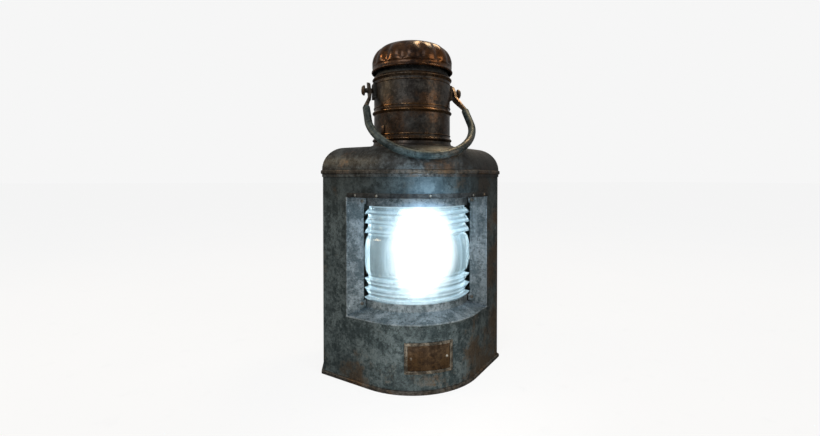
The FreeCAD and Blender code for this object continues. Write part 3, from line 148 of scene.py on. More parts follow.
class Finish:
    """One material: its nodes, and its surface shader."""

    def __init__(self, name, **surface):
        self.material = bpy.data.materials.new(name)
        self.material.use_nodes = True
        self.nodes = self.material.node_tree.nodes
        self.links = self.material.node_tree.links
        self.surface = self.nodes["Principled BSDF"]
        self.place = self.add("TexCoord", output="Object")
        for label, value in surface.items():
            self.set(label.replace("_", " "), value)

    def feed(self, socket, value):
        """Puts a value on a socket, or links an output to it."""
        if isinstance(value, Wire):
            self.links.new(value.socket, socket)
        else:
            socket.default_value = value

    def add(self, kind, settings=None, sockets=None, output=0):
        """Adds a node, sets it up, feeds its sockets and gives back one of its outputs."""
        node = self.nodes.new("ShaderNode" + kind)
        for key, value in (settings or {}).items():
            if key == "stops":
                ramp = node.color_ramp.elements
                while len(ramp) < len(value):
                    ramp.new(0.5)
                for stop, (position, colour) in zip(ramp, value):
                    stop.position = position
                    stop.color = (*colour, 1)
            else:
                setattr(node, key, value)
        for key, value in (sockets or {}).items():
            self.feed(node.inputs[key], value)
        return Wire(self, node.outputs[output])

    def maths(self, operation, first, second):
        return self.add("Math", {"operation": operation}, {0: first, 1: second})

    def step(self, value, start, end):
        """0 below start, 1 above end, and a smooth rise between them."""
        settings = {"interpolation_type": "SMOOTHSTEP", "clamp": True}
        return self.add("MapRange", settings, {"Value": value, "From Min": start, "From Max": end})

    def mix(self, share, under, over, kind="MIX"):
        """One colour over another."""
        colours = [c if isinstance(c, Wire) else (*c, 1) for c in (under, over)]
        settings = {"data_type": "RGBA", "blend_type": kind}
        return self.add("Mix", settings, {0: share, 6: colours[0], 7: colours[1]}, output=2)

    def noise(self, scale, detail=4.0, rough=0.55, stretch=(1, 1, 1), shift=(0, 0, 0)):
        """A cloudy pattern with so many clouds in a metre."""
        where = self.add("Mapping", None, {"Vector": self.place, "Scale": stretch, "Location": shift})
        sockets = {"Vector": where, "Scale": scale, "Detail": detail, "Roughness": rough}
        return self.add("TexNoise", None, sockets)

    def cells(self, scale):
        """The distance to the nearest of scattered points."""
        return self.add("TexVoronoi", None, {"Vector": self.place, "Scale": scale})

    def axes(self):
        """The three coordinates, one output each."""
        split = self.add("SeparateXYZ", None, {0: self.place}).socket.node
        return [Wire(self, split.outputs[i]) for i in range(3)]

    def bump(self, height, depth, under=None):
        """Relief: height is a pattern from 0 to 1, depth its real height in metres."""
        sockets = {"Height": height, "Strength": 1.0, "Distance": depth}
        if under:
            sockets["Normal"] = under
        return self.add("Bump", None, sockets)

    def set(self, label, value):
        """Sets or feeds a socket of the surface shader."""
        if isinstance(value, tuple) and len(value) == 3:
            value = (*value, 1)
        self.feed(self.surface.inputs[label], value)


print("shader helpers are ready")

# %% [markdown]
# ## Weathered copper sheet
# Copper on a ship turns brown, then grey green, in a fine mottle of specks on larger clouds, and
# rain leaves faint upright streaks. Where hands and wind rub it, the brown metal shows through
# and shines. One function makes every sheet of the lantern, each with its own tones. It can
# also paint shade under the roof and on the right side, and warm light on the right side.

# %% Weathered copper
def weathered(name, deep, pale, brown, brown_share=0.5, metal=0.55, gloss=0.0, grain=1.0, painted_warm_right_brown_foot=0.0,
              painted_shade_under_roof=0.0, painted_shade_right=0.0):
    """Sheet with clouds of two patina tones, brown metal between them, specks and streaks.

    Of the last three shares, the first makes the foot browner and paints warm light on the right
    side as a browner tone, the second paints shade under the roof, and the third paints shade
    on the right side.
    """
    finish = Finish(name, Specular_IOR_Level=0.3)
    x, y, z = finish.axes()
    cloud = finish.noise(11, 5, 0.6)
    blotch = finish.noise(46, 8, 0.62, shift=(3, 1, 2))
    mottle = finish.noise(190, 6, 0.7)
    speck = finish.noise(640, 3, 0.6)
    streak = finish.noise(90, 4, 0.6, stretch=(1, 1, 0.05))
    brown_cloud = finish.noise(17, 6, 0.65, shift=(7, 5, 1))

    tone = finish.mix(finish.step(blotch * 0.6 + mottle * 0.4, 0.42, 0.6), deep, pale)
    # Browner towards the foot, and browner on the right side, which is painted warm light. The share
    # also makes the sheet more metal and glossier there.
    painted_warm_and_foot_brown = finish.step(x, 0.02, 0.15) * painted_warm_right_brown_foot + finish.step(z, 0.07, 0.0) * (painted_warm_right_brown_foot * 0.8)
    bare = finish.step(brown_cloud * 0.75 + mottle * 0.25 + painted_warm_and_foot_brown,
                       0.66 - 0.3 * brown_share, 0.74 - 0.2 * brown_share)
    tone = finish.mix(bare * 0.85, tone, brown)
    dark_speck = finish.step(mottle * 0.5 + speck * 0.5, 0.5, 0.4)
    tone = finish.mix(dark_speck * 0.6, tone, tuple(c * 0.35 for c in deep))
    pale_speck = finish.step(mottle * 0.45 + speck * 0.55, 0.56, 0.66)
    tone = finish.mix(pale_speck * 0.55, tone, tuple(min(1, c * 2.1) for c in pale))
    tone = finish.mix(finish.step(streak, 0.52, 0.75) * 0.3, tone, tuple(c * 1.5 for c in pale))
    tone = finish.mix(finish.step(cloud, 0.5, 0.36) * 0.35, tone, tuple(c * 0.5 for c in deep))
    # Painted shade: darker under the roof and on the right side.
    painted_shade_mask = finish.step(z, 0.25, 0.325) * painted_shade_under_roof + finish.step(x, -0.02, 0.13) * painted_shade_right
    tone = finish.mix(painted_shade_mask, tone, tuple(c * 0.35 for c in deep))
    finish.set("Base Color", tone)
    finish.set("Metallic", metal * (0.55 + 0.45 * bare))
    rough = 0.62 - gloss - 0.16 * bare + (mottle - 0.5) * 0.35 + dark_speck * 0.12
    finish.set("Roughness", rough)
    relief = finish.bump(cloud, 0.0022 * grain)
    relief = finish.bump(blotch, 0.0006 * grain, relief)
    finish.set("Normal", finish.bump(mottle * 0.6 + speck * 0.4, 0.00022 * grain, relief))
    print("finish:", name)
    return finish


# %% The lamp's glow on the sheet over the lens
def add_glow(finish, centre, reach, colour):
    """A soft bright patch on a sheet, where the lamp's light strikes it at close range."""
    x, y, z = finish.axes()
    across = (x - centre[0]) * (1 / reach[0])
    upright = (z - centre[1]) * (1 / reach[1])
    away = (across * across + upright * upright) ** 0.5
    lit = finish.step(away, 1.0, 0.0) * finish.step(y, 0.0, -0.06)
    finish.set("Emission Color", finish.mix(lit, (0.0, 0.0, 0.0), colour))
    finish.set("Emission Strength", 1.0)


# %% The lantern's sheets
# The case: browner on its right as painted warm light, browner at its foot, and darker under the roof
# as painted shade.
case_sheet = weathered("case_sheet", (0.022, 0.032, 0.035), (0.078, 0.100, 0.106),
                       (0.085, 0.060, 0.038), 0.34, painted_warm_right_brown_foot=0.11, painted_shade_under_roof=0.62)
# The roof: darker on its right side as painted shade.
roof_sheet = weathered("roof_sheet", (0.018, 0.018, 0.017), (0.060, 0.068, 0.070),
                       (0.085, 0.046, 0.024), 0.52, gloss=0.12, metal=0.7, painted_shade_right=0.7)
chimney_sheet = weathered("chimney_sheet", (0.012, 0.009, 0.007), (0.050, 0.045, 0.040),
                          (0.070, 0.036, 0.018), 0.66, gloss=0.22, metal=0.8)
cap_sheet = weathered("cap_sheet", (0.018, 0.007, 0.003), (0.066, 0.030, 0.013),
                      (0.155, 0.062, 0.020), 0.62, gloss=0.34, metal=0.9, grain=0.4)
ring_sheet = weathered("ring_sheet", (0.020, 0.013, 0.009), (0.085, 0.060, 0.040),
                       (0.17, 0.085, 0.035), 0.7, gloss=0.34, metal=0.95, grain=0.4)
# A very dark sheet that paints shade on the drip strip and on the neck, baffle and stays under the
# cap.
painted_shade_sheet = weathered("painted_shade_sheet", (0.008, 0.009, 0.010), (0.034, 0.036, 0.036),
                        (0.050, 0.034, 0.022), 0.4)
# Paler, bluer copper for the niche plates: painted light of the lamp on the sill, head, reveals and
# seats.
niche_sheet = weathered("niche_sheet", (0.060, 0.080, 0.090), (0.17, 0.20, 0.22),
                        (0.12, 0.10, 0.085), 0.25, metal=0.45)
add_glow(niche_sheet, (-0.003, 0.262), (0.062, 0.024), (0.30, 0.55, 0.85))
add_glow(case_sheet, (-0.004, 0.285), (0.045, 0.060), (0.045, 0.085, 0.125))
bead_sheet = weathered("bead_sheet", (0.020, 0.018, 0.015), (0.070, 0.066, 0.060),
                       (0.11, 0.066, 0.036), 0.62, metal=0.7, gloss=0.1)
bail_bronze = weathered("bail_bronze", (0.035, 0.024, 0.016), (0.12, 0.10, 0.078),
                        (0.18, 0.105, 0.058), 0.62, metal=0.75, gloss=0.1)
grip_sheet = weathered("grip_sheet", (0.014, 0.022, 0.023), (0.060, 0.080, 0.082),
                       (0.085, 0.062, 0.044), 0.5, metal=0.6, gloss=0.12)
door_sheet = weathered("door_sheet", (0.026, 0.032, 0.032), (0.085, 0.095, 0.092),
                       (0.11, 0.072, 0.042), 0.5)
hinge_brass = weathered("hinge_brass", (0.06, 0.042, 0.018), (0.18, 0.14, 0.07), (0.34, 0.22, 0.09),
                        0.6, metal=0.9, gloss=0.22)
hanger_iron = weathered("hanger_iron", (0.014, 0.013, 0.013), (0.05, 0.048, 0.046),
                        (0.085, 0.035, 0.016), 0.45, metal=0.5)

# %% [markdown]
# ## Brass of the name plate
# The plate is thin brass with lettering long gone. Its flat is brown, and the raised frame is
# rubbed bright, so the two get finishes of their own.

# %% Plate and frame brass
plate_brass = weathered("plate_brass", (0.020, 0.012, 0.007), (0.060, 0.039, 0.022),
                        (0.078, 0.045, 0.020), 0.65, metal=0.75, gloss=0.12, grain=0.6)
frame_brass = weathered("frame_brass", (0.034, 0.030, 0.024), (0.17, 0.15, 0.12),
                        (0.12, 0.085, 0.048), 0.5, metal=0.85, gloss=0.24, grain=0.5)
rivet_brass = weathered("rivet_brass", (0.06, 0.055, 0.048), (0.24, 0.23, 0.20), (0.22, 0.14, 0.07),
                        0.5, metal=0.85, gloss=0.22, grain=0.5)

# %% [markdown]
# ## Glass and light
# A dioptric lens is ground so that all of it seems to glow where the lamp's image falls, brightest
# level with the lamp. Following every ray through the prisms takes long and stays noisy, so the
# glass is clear and faintly blue, and the image of the lamp is an emission on it with a soft edge.

# %% Lens glass
IMAGE_PLACE = -0.002
IMAGE_LEVEL = 0.207
IMAGE_HALF_WIDTH = 0.043
IMAGE_HALF_HEIGHT = 0.060


def lens_glass():
    """Clear pressed glass with the lamp's image glowing in it."""
    finish = Finish("lens_glass", Roughness=0.08, IOR=1.5, Transmission_Weight=0.8,
                    Emission_Strength=1.05)
    x, y, z = finish.axes()
    across = (x - IMAGE_PLACE) * (1 / IMAGE_HALF_WIDTH)
    upright = (z - IMAGE_LEVEL) * (1 / IMAGE_HALF_HEIGHT)
    away = (across * across + upright * upright) ** 0.5
    ripple = finish.noise(26, 3, 0.5, stretch=(1, 1, 0.25))
    core = finish.step(away + (ripple - 0.5) * 0.5, 1.4, 0.6)
    halo = finish.step(away, 1.9, 0.8)
    streak = finish.step(finish.noise(70, 3, 0.6, stretch=(1, 1, 0.05), shift=(2, 4, 0)), 0.42, 0.60)
    # Painted highlights and shade of the prisms: the emission runs in light and dark bands, two to a
    # prism, with faint streaks on the belt.
    belt = finish.step(finish.maths("ABSOLUTE", z - lens_middle, 0.0), 0.032, 0.030)
    wave = finish.maths("SINE", (z - lens_middle) * (2 * math.pi / (PRISM / 2)), 0.0)
    bands = finish.step(wave + (ripple - 0.5) * 0.8, -0.5, 0.7)
    shade = finish.mix(belt, finish.mix(bands, (0.008, 0.018, 0.024), (0.13, 0.18, 0.21)),
                       finish.mix(streak, (0.006, 0.016, 0.022), (0.06, 0.10, 0.12)))
    glow = finish.mix(halo * 0.4, shade, (0.34, 0.44, 0.50))
    finish.set("Emission Color", finish.mix(core, glow, (0.90, 0.97, 1.0)))
    seed = finish.cells(330)
    finish.set("Base Color", finish.mix(streak, (0.50, 0.62, 0.66), (0.72, 0.82, 0.86)))
    finish.set("Normal", finish.bump(seed, 0.00006, finish.bump(ripple, 0.0008)))
    return finish


# %% Bulb glass, putty and fittings
def glowing_bulb():
    """Frosted glass lit from inside, brightest in the round part."""
    finish = Finish("bulb_glass", Roughness=0.4, Emission_Strength=0.9)
    z = finish.axes()[2]
    frost = finish.noise(300, 3)
    shine = finish.step(z, low("bulb_glass").z, low("bulb_glass").z + 0.02)
    finish.set("Base Color", finish.mix(frost, (0.86, 0.88, 0.88), (0.96, 0.97, 0.97)))
    finish.set("Emission Color", finish.mix(shine, (0.10, 0.12, 0.13), (0.93, 0.98, 1.0)))
    finish.set("Normal", finish.bump(frost, 0.00003))
    return finish


def plain(name, dark, light, rough, scale, depth, metal=0.0, coat=0.0):
    """A finish with one even pattern, for the small fittings."""
    finish = Finish(name, Metallic=metal, Coat_Weight=coat)
    cloud = finish.noise(scale, 6, 0.6)
    fine = finish.noise(scale * 9, 4, 0.6)
    tone = finish.mix(finish.step(cloud, 0.35, 0.65), dark, light)
    dark_grain = tuple(c * 0.5 for c in dark)
    finish.set("Base Color", finish.mix(finish.step(fine, 0.6, 0.72) * 0.4, tone, dark_grain))
    finish.set("Roughness", rough + (cloud - 0.5) * 0.3)
    finish.set("Normal", finish.bump(fine, depth))
    print("finish:", name)
    return finish


lens_finish = lens_glass()
bulb_finish = glowing_bulb()
putty = plain("putty", (0.10, 0.095, 0.085), (0.24, 0.23, 0.21), 0.85, 60, 0.0003)
lamp_enamel = plain("lamp_enamel", (0.30, 0.30, 0.28), (0.42, 0.42, 0.40), 0.4, 30, 0.00008, coat=0.3)
reflector_plate = plain("reflector_plate", (0.42, 0.43, 0.45), (0.62, 0.63, 0.65), 0.24, 22,
                        0.00004, metal=1.0)
ceramic = plain("ceramic", (0.66, 0.65, 0.61), (0.80, 0.79, 0.75), 0.22, 40, 0.00005, coat=0.5)
block_plastic = plain("block_plastic", (0.012, 0.011, 0.010), (0.03, 0.028, 0.026), 0.5, 80, 0.0001)
gland_brass = plain("gland_brass", (0.26, 0.18, 0.07), (0.45, 0.33, 0.14), 0.32, 50, 0.00008,
                    metal=0.95)

# %% [markdown]
# ## Finishes for the plates that stay
# Each node of the engineering model that keeps its shape gets its finish by a swap of its material.

# %% Give each kept node its finish
FINISHES = {
    case_sheet: ["body_shell", "back_panel", "base_plate"],
    roof_sheet: ["roof"],
    chimney_sheet: ["chimney_tube", "chimney_foot"],
    ring_sheet: ["chimney_ring_lower", "chimney_ring_middle", "chimney_ring_upper"],
    painted_shade_sheet: ["drip_strip", "chimney_neck", "chimney_baffle", "cap_stays"],
    cap_sheet: ["cap"],
    niche_sheet: ["window_sill", "window_head", "reveal_left", "reveal_right", "lens_seat_lower",
                  "lens_seat_upper", "lens_clips"],
    bead_sheet: ["base_bead", "rim_bead", "bail_lug_left", "bail_lug_right"],
    bail_bronze: ["bail_rod", "bail_pin_left", "bail_pin_right"],
    grip_sheet: ["bail_grip"],
    door_sheet: ["rear_door"],
    hinge_brass: ["hinge_leaf_case", "hinge_leaf_door", "door_hinge_pin", "door_knob", "latch_stud",
                  "latch_button"],
    hanger_iron: ["hanger_lower", "hanger_upper", "hanger_rivets"],
    plate_brass: ["nameplate"],
    frame_brass: ["nameplate_frame"],
    rivet_brass: ["nameplate_rivets", "drip_strip_rivets", "clip_screws"],
    lens_finish: ["lens"],
    bulb_finish: ["bulb_glass"],
    putty: ["lens_seal_lower", "lens_seal_upper"],
    lamp_enamel: ["lamp_post"],
    reflector_plate: ["reflector"],
    ceramic: ["lamp_holder"],
    block_plastic: ["terminal_block"],
    gland_brass: ["cable_gland", "gland_nut", "bulb_cap"],
}

finish_of = {}
for finish, names in FINISHES.items():
    for name in names:
        finish_of[name] = finish.material
        nodes[name].material_slots[0].material = finish.material
missing = sorted(set(nodes) - set(finish_of))
print("nodes with a finish:", len(finish_of), "without:", missing)

# %% [markdown]
# ## From a mesh in the making to a piece
# Every new piece ends the same way: doubles are merged, the faces turned outwards, the shading
# smoothed except at real corners, and the piece rides on the body it belongs to.

# %% Finish a piece
def piece(mesh, name, like, body="case", stands_for=(), smooth=32):
    """Makes an object from the mesh in the making, with the finish and slot of the node like."""
    bmesh.ops.remove_doubles(mesh, verts=mesh.verts, dist=0.01 * MM)
    bmesh.ops.recalc_face_normals(mesh, faces=mesh.faces)
    data = bpy.data.meshes.new(name)
    mesh.to_mesh(data)
    mesh.free()
    for face in data.polygons:
        face.use_smooth = True
    data.set_sharp_from_angle(angle=math.radians(smooth))
    data.materials.append(finish_of[like])
    made = bpy.data.objects.new(name, data)
    bpy.context.scene.collection.objects.link(made)
    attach(made, body)
    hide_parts(*stands_for)
    print(name, "faces", len(data.polygons))
    return made


# %% [markdown]
# ## Softened plates
# No real sheet has a knife edge: its edges are dressed, and they catch the light. A copy of the
# engineering node is merged, its flat faces are joined and its corners get a small round edge.

# %% Softened copies of small nodes
def softened(node, width, body="case", sharp=30, segments=2):
    """A copy of a node with its corners rounded."""
    mesh = bmesh.new()
    mesh.from_mesh(nodes[node].data)
    bmesh.ops.remove_doubles(mesh, verts=mesh.verts, dist=0.01 * MM)
    bmesh.ops.dissolve_limit(mesh, angle_limit=math.radians(0.5), verts=mesh.verts, edges=mesh.edges)
    corners = [e for e in mesh.edges if e.is_manifold and e.calc_face_angle(0) > math.radians(sharp)]
    bmesh.ops.bevel(mesh, geom=corners, offset=width, segments=segments, profile=0.5, affect="EDGES",
                    material=-1, clamp_overlap=True)
    return piece(mesh, node + "_soft", node, body, [node])


for node, width in (("nameplate_frame", 0.7), ("nameplate", 0.3), ("hinge_leaf_case", 0.25),
                    ("hanger_lower", 0.5), ("hanger_upper", 0.5), ("terminal_block", 0.8),
                    ("bail_lug_left", 0.7), ("bail_lug_right", 0.7), ("drip_strip", 0.35),
                    ("reveal_left", 0.3), ("reveal_right", 0.3)):
    softened(node, width * MM)
softened("hinge_leaf_door", 0.25 * MM, "door")
softened("latch_button", 0.6 * MM, "turn_button")

# %% [markdown]
# ## Turned pieces
# The chimney and cap are spun on a lathe. An outline is drawn once, as radius and height, and spun
# about the lantern's axis. That is quicker and truer than shaping a cylinder.

# %% Turn an outline
def arc(centre, radius, start, end, steps):
    """Points on an arc in an outline, from one angle to another, in degrees."""
    turns = [math.radians(start + (end - start) * i / steps) for i in range(steps + 1)]
    return [(centre[0] + radius * math.cos(t), centre[1] + radius * math.sin(t)) for t in turns]


def turned(outline, steps=112, angle=360.0, start=0.0):
    """A mesh in the making: the closed outline of (radius, height) spun about the axis."""
    mesh = bmesh.new()
    points = [mesh.verts.new((radius, 0, height)) for radius, height in outline]
    for first, second in zip(points, points[1:] + points[:1]):
        mesh.edges.new((first, second))
    bmesh.ops.rotate(mesh, verts=mesh.verts, cent=(0, 0, 0),
                     matrix=Matrix.Rotation(math.radians(start), 3, "Z"))
    whole = angle == 360.0
    bmesh.ops.spin(mesh, geom=mesh.verts[:] + mesh.edges[:], cent=(0, 0, 0), axis=(0, 0, 1),
                   angle=math.radians(angle), steps=steps, use_merge=whole, use_duplicate=False)
    if not whole:
        bmesh.ops.remove_doubles(mesh, verts=mesh.verts, dist=0.01 * MM)
        open_edges = [e for e in mesh.edges if e.is_boundary]
        bmesh.ops.holes_fill(mesh, edges=open_edges, sides=0)
    return mesh


# %% [markdown]
# ## The chimney's rings and foot
# The rings are swaged into the tube: a half-round swelling that runs out softly above and below.
# Fine lines beside them come from the same rollers.

# %% Rings and lines
def ring(name, node):
    """A swelling round the tube with soft feet."""
    foot, head = low(node).z, high(node).z
    middle = (foot + head) / 2
    half = (head - foot) / 2
    stand = high(node).x - tube_radius
    steps = 14
    swell = [(tube_radius + stand * (0.5 + 0.5 * math.cos(math.pi * t)) ** 0.8, middle + half * t)
             for t in [2 * i / steps - 1 for i in range(steps + 1)]]
    outline = [(tube_radius - 0.2 * MM, foot)] + swell + [(tube_radius - 0.2 * MM, head)]
    piece(turned(outline), name, node, stands_for=[node], smooth=50)
    return middle


def line(name, height, stand=0.9 * MM, half=1.1 * MM):
    """A fine raised line round the tube."""
    outline = [(tube_radius - 0.2 * MM, height - half)]
    outline += arc((tube_radius, height), half, -90, 90, 6)
    outline += [(tube_radius - 0.2 * MM, height + half)]
    outline = [(min(r, tube_radius + stand), z) for r, z in outline]
    piece(turned(outline), name, "chimney_ring_lower", smooth=60)


places = ("lower", "middle", "upper")
ring_heights = [ring("ring_" + place, "chimney_ring_" + place) for place in places]
line("line_lower", ring_heights[0] + 7.5 * MM)
line("line_middle", ring_heights[1] + 8 * MM)
line("line_upper", ring_heights[2] - 8 * MM)

# %% The foot on the roof
foot_radius = high("chimney_foot").x
foot_outline = [
    (low("chimney_foot").x * -1 - 13 * MM, roof_level),
    (foot_radius - 0.6 * MM, roof_level),
    (foot_radius, roof_level + 0.8 * MM),
    (foot_radius, roof_level + 2.4 * MM),
    (foot_radius - 0.8 * MM, roof_level + 3.4 * MM),
    (foot_radius - 2.2 * MM, roof_level + 3.6 * MM),
    (tube_radius + 2.6 * MM, roof_level + 4.6 * MM),
    (tube_radius + 1.5 * MM, roof_level + 7 * MM),
    (tube_radius + 1.2 * MM, high("chimney_foot").z),
    (tube_radius, high("chimney_foot").z),
    (tube_radius, roof_level + 5 * MM),
    (foot_radius - 3.2 * MM, roof_level + 1.2 * MM),
    (low("chimney_foot").x * -1 - 13 * MM, roof_level + 1.2 * MM),
]
piece(turned(foot_outline), "chimney_foot_spun", "chimney_foot", stands_for=["chimney_foot"],
      smooth=40)

# %% [markdown]
# ## The fluted cap
# The cap is spun first and then beaten over a fluted former, which leaves hollows in the shoulder
# with ridges between them. So the mesh is turned plain, and its outer skin is then pressed in
# where the hollows are. They fade out at the plain band below and on the crown above.

# %% Cap
cap_low, cap_high = low("cap").z, high("cap").z
cap_radius = high("cap").x
FLUTES = 14
FLUTE_DEPTH = 3.4 * MM
FLUTE_SHARPNESS = 2.2
RIDGE_SHARE = 0.12
FADE_LOW = 5 * MM
FADE_START = 17 * MM
FADE_HIGH = 10 * MM
SKIN = 1 * MM
BAND = 10 * MM
BEND = 33 * MM
GAUGE = 4.2 * MM

shoulder = cap_high - BEND
crown = cap_radius - BEND
outer = [(cap_radius - 1.2 * MM, cap_low + 0.2 * MM)]
outer += arc((cap_radius - 0.4 * MM, cap_low + 1.8 * MM), 1.8 * MM, -90, 60, 6)
outer += [(cap_radius - 0.2 * MM, cap_low + 4 * MM), (cap_radius - 0.2 * MM, cap_low + 7 * MM),
          (cap_radius - 0.9 * MM, cap_low + BAND - 1.2 * MM), (cap_radius, cap_low + BAND)]
outer += [(cap_radius, cap_low + BAND + i * 2.5 * MM) for i in (1, 2, 3)]
outer += arc((crown, shoulder), BEND, 0, 84, 18)
outer += [(crown * 0.6, cap_high), (crown * 0.3, cap_high + 0.4 * MM), (0, cap_high + 0.5 * MM)]
inner = [(0, cap_high - GAUGE)] + arc((crown, shoulder), BEND - GAUGE, 86, 0, 8)
inner += [(cap_radius - GAUGE, cap_low + BAND), (cap_radius - 1.2 * MM, cap_low + BAND - 1.2 * MM)]
cap_mesh = turned(outer + inner, steps=FLUTES * 10)


def press_flutes(mesh):
    """Presses hollows into the outer skin of the cap."""
    floor = cap_low + BAND
    for vert in mesh.verts:
        radius = vert.co.xy.length
        level = vert.co.z
        reach = math.hypot(radius - crown, max(0.0, level - shoulder))
        on_wall = level < shoulder and radius > cap_radius - SKIN
        on_bend = level >= shoulder and reach > BEND - SKIN
        if level <= floor + 0.1 * MM or not (on_wall or on_bend) or radius < crown * 0.7:
            continue
        turn = math.atan2(vert.co.y, vert.co.x) - math.radians(90)
        hollow = (0.5 + 0.5 * math.cos(FLUTES * turn)) ** FLUTE_SHARPNESS
        rise = min(1.0, (level - floor) / FADE_LOW)
        fade = min(1.0, max(0.0, (radius - crown - FADE_START) / FADE_HIGH))
        inward = FLUTE_DEPTH * (hollow - RIDGE_SHARE) * rise * fade
        share = (radius - inward) / radius
        vert.co.x *= share
        vert.co.y *= share
        vert.co.z -= inward * 0.5 * max(0.0, (level - shoulder) / BEND)


press_flutes(cap_mesh)
piece(cap_mesh, "cap_fluted", "cap", stands_for=["cap"], smooth=60)

# %% [markdown]
# ## The lens
# A dioptric lens is a belt with a round bulge, and prisms above and below it that each throw light
# level. Ground glass has thin round edges, so its outline is spun through the lens's angle and
# each prism edge is rounded a little.

# %% Lens
LENS_ANGLE = 122.0
BORE = 82 * MM
ROOT = 92.5 * MM
FOOT = 91 * MM
TIP_GAP = 5 * MM
PRISM_FALL = 11 * MM * 0.9
END_FALL = 9 * MM * 0.9


def lens_outline():
    """From the bottom up along the outside, and down the bore."""
    points = [(FOOT, lens_low)]
    for index in (2, 1, 0):
        tip = lens_middle - BELT_HALF - TIP_GAP - index * PRISM
        points += [(FOOT, tip - END_FALL) if index == 2 else (ROOT, tip - PRISM_FALL),
                   (lens_tip - 0.5 * MM, tip - 0.5 * MM), (lens_tip, tip),
                   (lens_tip - 0.6 * MM, tip + 0.5 * MM),
                   (ROOT, tip + 1.4 * MM)]
    steps = 16
    for i in range(steps + 1):
        share = 2 * i / steps - 1
        bulge = (1 - share ** 2) ** 0.5
        points.append((ROOT + (lens_tip - ROOT) * bulge, lens_middle + BELT_HALF * share))
    for index in (0, 1, 2):
        tip = lens_middle + BELT_HALF + TIP_GAP + index * PRISM
        points += [(ROOT, tip - 1.4 * MM), (lens_tip - 0.6 * MM, tip - 0.5 * MM), (lens_tip, tip),
                   (lens_tip - 0.5 * MM, tip + 0.5 * MM),
                   (FOOT, tip + END_FALL) if index == 2 else (ROOT, tip + PRISM_FALL)]
    points += [(FOOT, lens_high), (BORE, lens_high), (BORE, lens_low)]
    return points


lens_mesh = turned(lens_outline(), steps=64, angle=LENS_ANGLE, start=-90 - LENS_ANGLE / 2)
piece(lens_mesh, "lens_ground", "lens", stands_for=["lens"], smooth=28)

# %% [markdown]
# ## Strips along the front
# The drip strip, the edge of the sill and the seam under the roof all follow the case's front: a
# quarter turn round the nose with a straight run on each flat. One helper spins a section
# round the nose and then pulls both ends out along the flats.

# %% A strip along the front
def front_strip(section, reach, steps=40):
    """A mesh in the making: the (stand, height) section carried along the front out to x = reach."""
    mesh = bmesh.new()
    points = [mesh.verts.new((0, -(nose_radius + stand), height)) for stand, height in section]
    for first, second in zip(points, points[1:] + points[:1]):
        mesh.edges.new((first, second))
    quarter_start = Matrix.Rotation(math.radians(-45), 3, "Z")
    bmesh.ops.rotate(mesh, verts=mesh.verts, cent=(0, 0, 0), matrix=quarter_start)
    bmesh.ops.spin(mesh, geom=mesh.verts[:] + mesh.edges[:], cent=(0, 0, 0), axis=(0, 0, 1),
                   angle=math.radians(90), steps=steps, use_merge=False, use_duplicate=False)
    run = reach - nose_radius / math.sqrt(2)
    for hand in (-1, 1):
        ends = [e for e in mesh.edges if e.is_boundary and e.verts[0].co.x * hand > 0]
        pulled = bmesh.ops.extrude_edge_only(mesh, edges=ends)["geom"]
        moved = [v for v in pulled if isinstance(v, bmesh.types.BMVert)]
        bmesh.ops.translate(mesh, verts=moved, vec=(run * hand, run, 0))
    bmesh.ops.holes_fill(mesh, edges=[e for e in mesh.edges if e.is_boundary], sides=0)
    return mesh


# %% Sill edge and niche hems
sill_height = window_foot
sill_section = [(0.02 * MM, sill_height - 1.8 * MM), (1.5 * MM, sill_height - 1.4 * MM),
                (2.0 * MM, sill_height - 0.4 * MM), (1.6 * MM, sill_height + 0.6 * MM),
                (0.6 * MM, sill_height + 1.2 * MM), (0.02 * MM, sill_height + 1.2 * MM)]
piece(front_strip(sill_section, window_half), "sill_edge", "window_sill", smooth=60)


def block(size, centre, bevel, turn=0.0):
    """A mesh in the making: a block with rounded edges, turned about an upright through its centre."""
    mesh = bmesh.new()
    bmesh.ops.create_cube(mesh, size=1.0)
    bmesh.ops.scale(mesh, verts=mesh.verts, vec=size)
    bmesh.ops.bevel(mesh, geom=mesh.edges[:], offset=bevel, segments=2, profile=0.5, affect="EDGES",
                    material=-1)
    bmesh.ops.rotate(mesh, verts=mesh.verts, cent=(0, 0, 0), matrix=Matrix.Rotation(turn, 3, "Z"))
    bmesh.ops.translate(mesh, verts=mesh.verts, vec=centre)
    return mesh


hem_y = -(nose_radius * math.sqrt(2) - window_half)
for side, hand in (("left", -1), ("right", 1)):
    centre = (hand * (window_half - 0.3 * MM), hem_y - 0.9 * MM, (window_foot + window_top) / 2)
    size = (2.4 * MM, 2.0 * MM, window_top - window_foot)
    hem = block(size, centre, 0.6 * MM, hand * math.radians(45))
    piece(hem, "niche_hem_" + side, "reveal_left", smooth=50)

# %% [markdown]
# ## The chimney's tab
# A folded tab stands upright at the foot of the chimney, a sixth of a turn left of the front.

# %% Tab
TAB_TURN = math.radians(59)
TAB_HEIGHT = 0.3955
tab_place = Vector((-math.sin(TAB_TURN), -math.cos(TAB_TURN), 0)) * (tube_radius + 0.8 * MM)
tab = block((8 * MM, 2.4 * MM, 15 * MM), tab_place + UP * TAB_HEIGHT, 0.8 * MM, -TAB_TURN)
piece(tab, "chimney_tab", "chimney_tube", smooth=50)

# %% [markdown]
# ## The bail's sleeve
# A strip of sheet is rolled round the rod to fill the hand. Its ends are dressed down to the rod.
# A ring is pulled down the leg, spun round the corner and on along the grip, and mirrored.

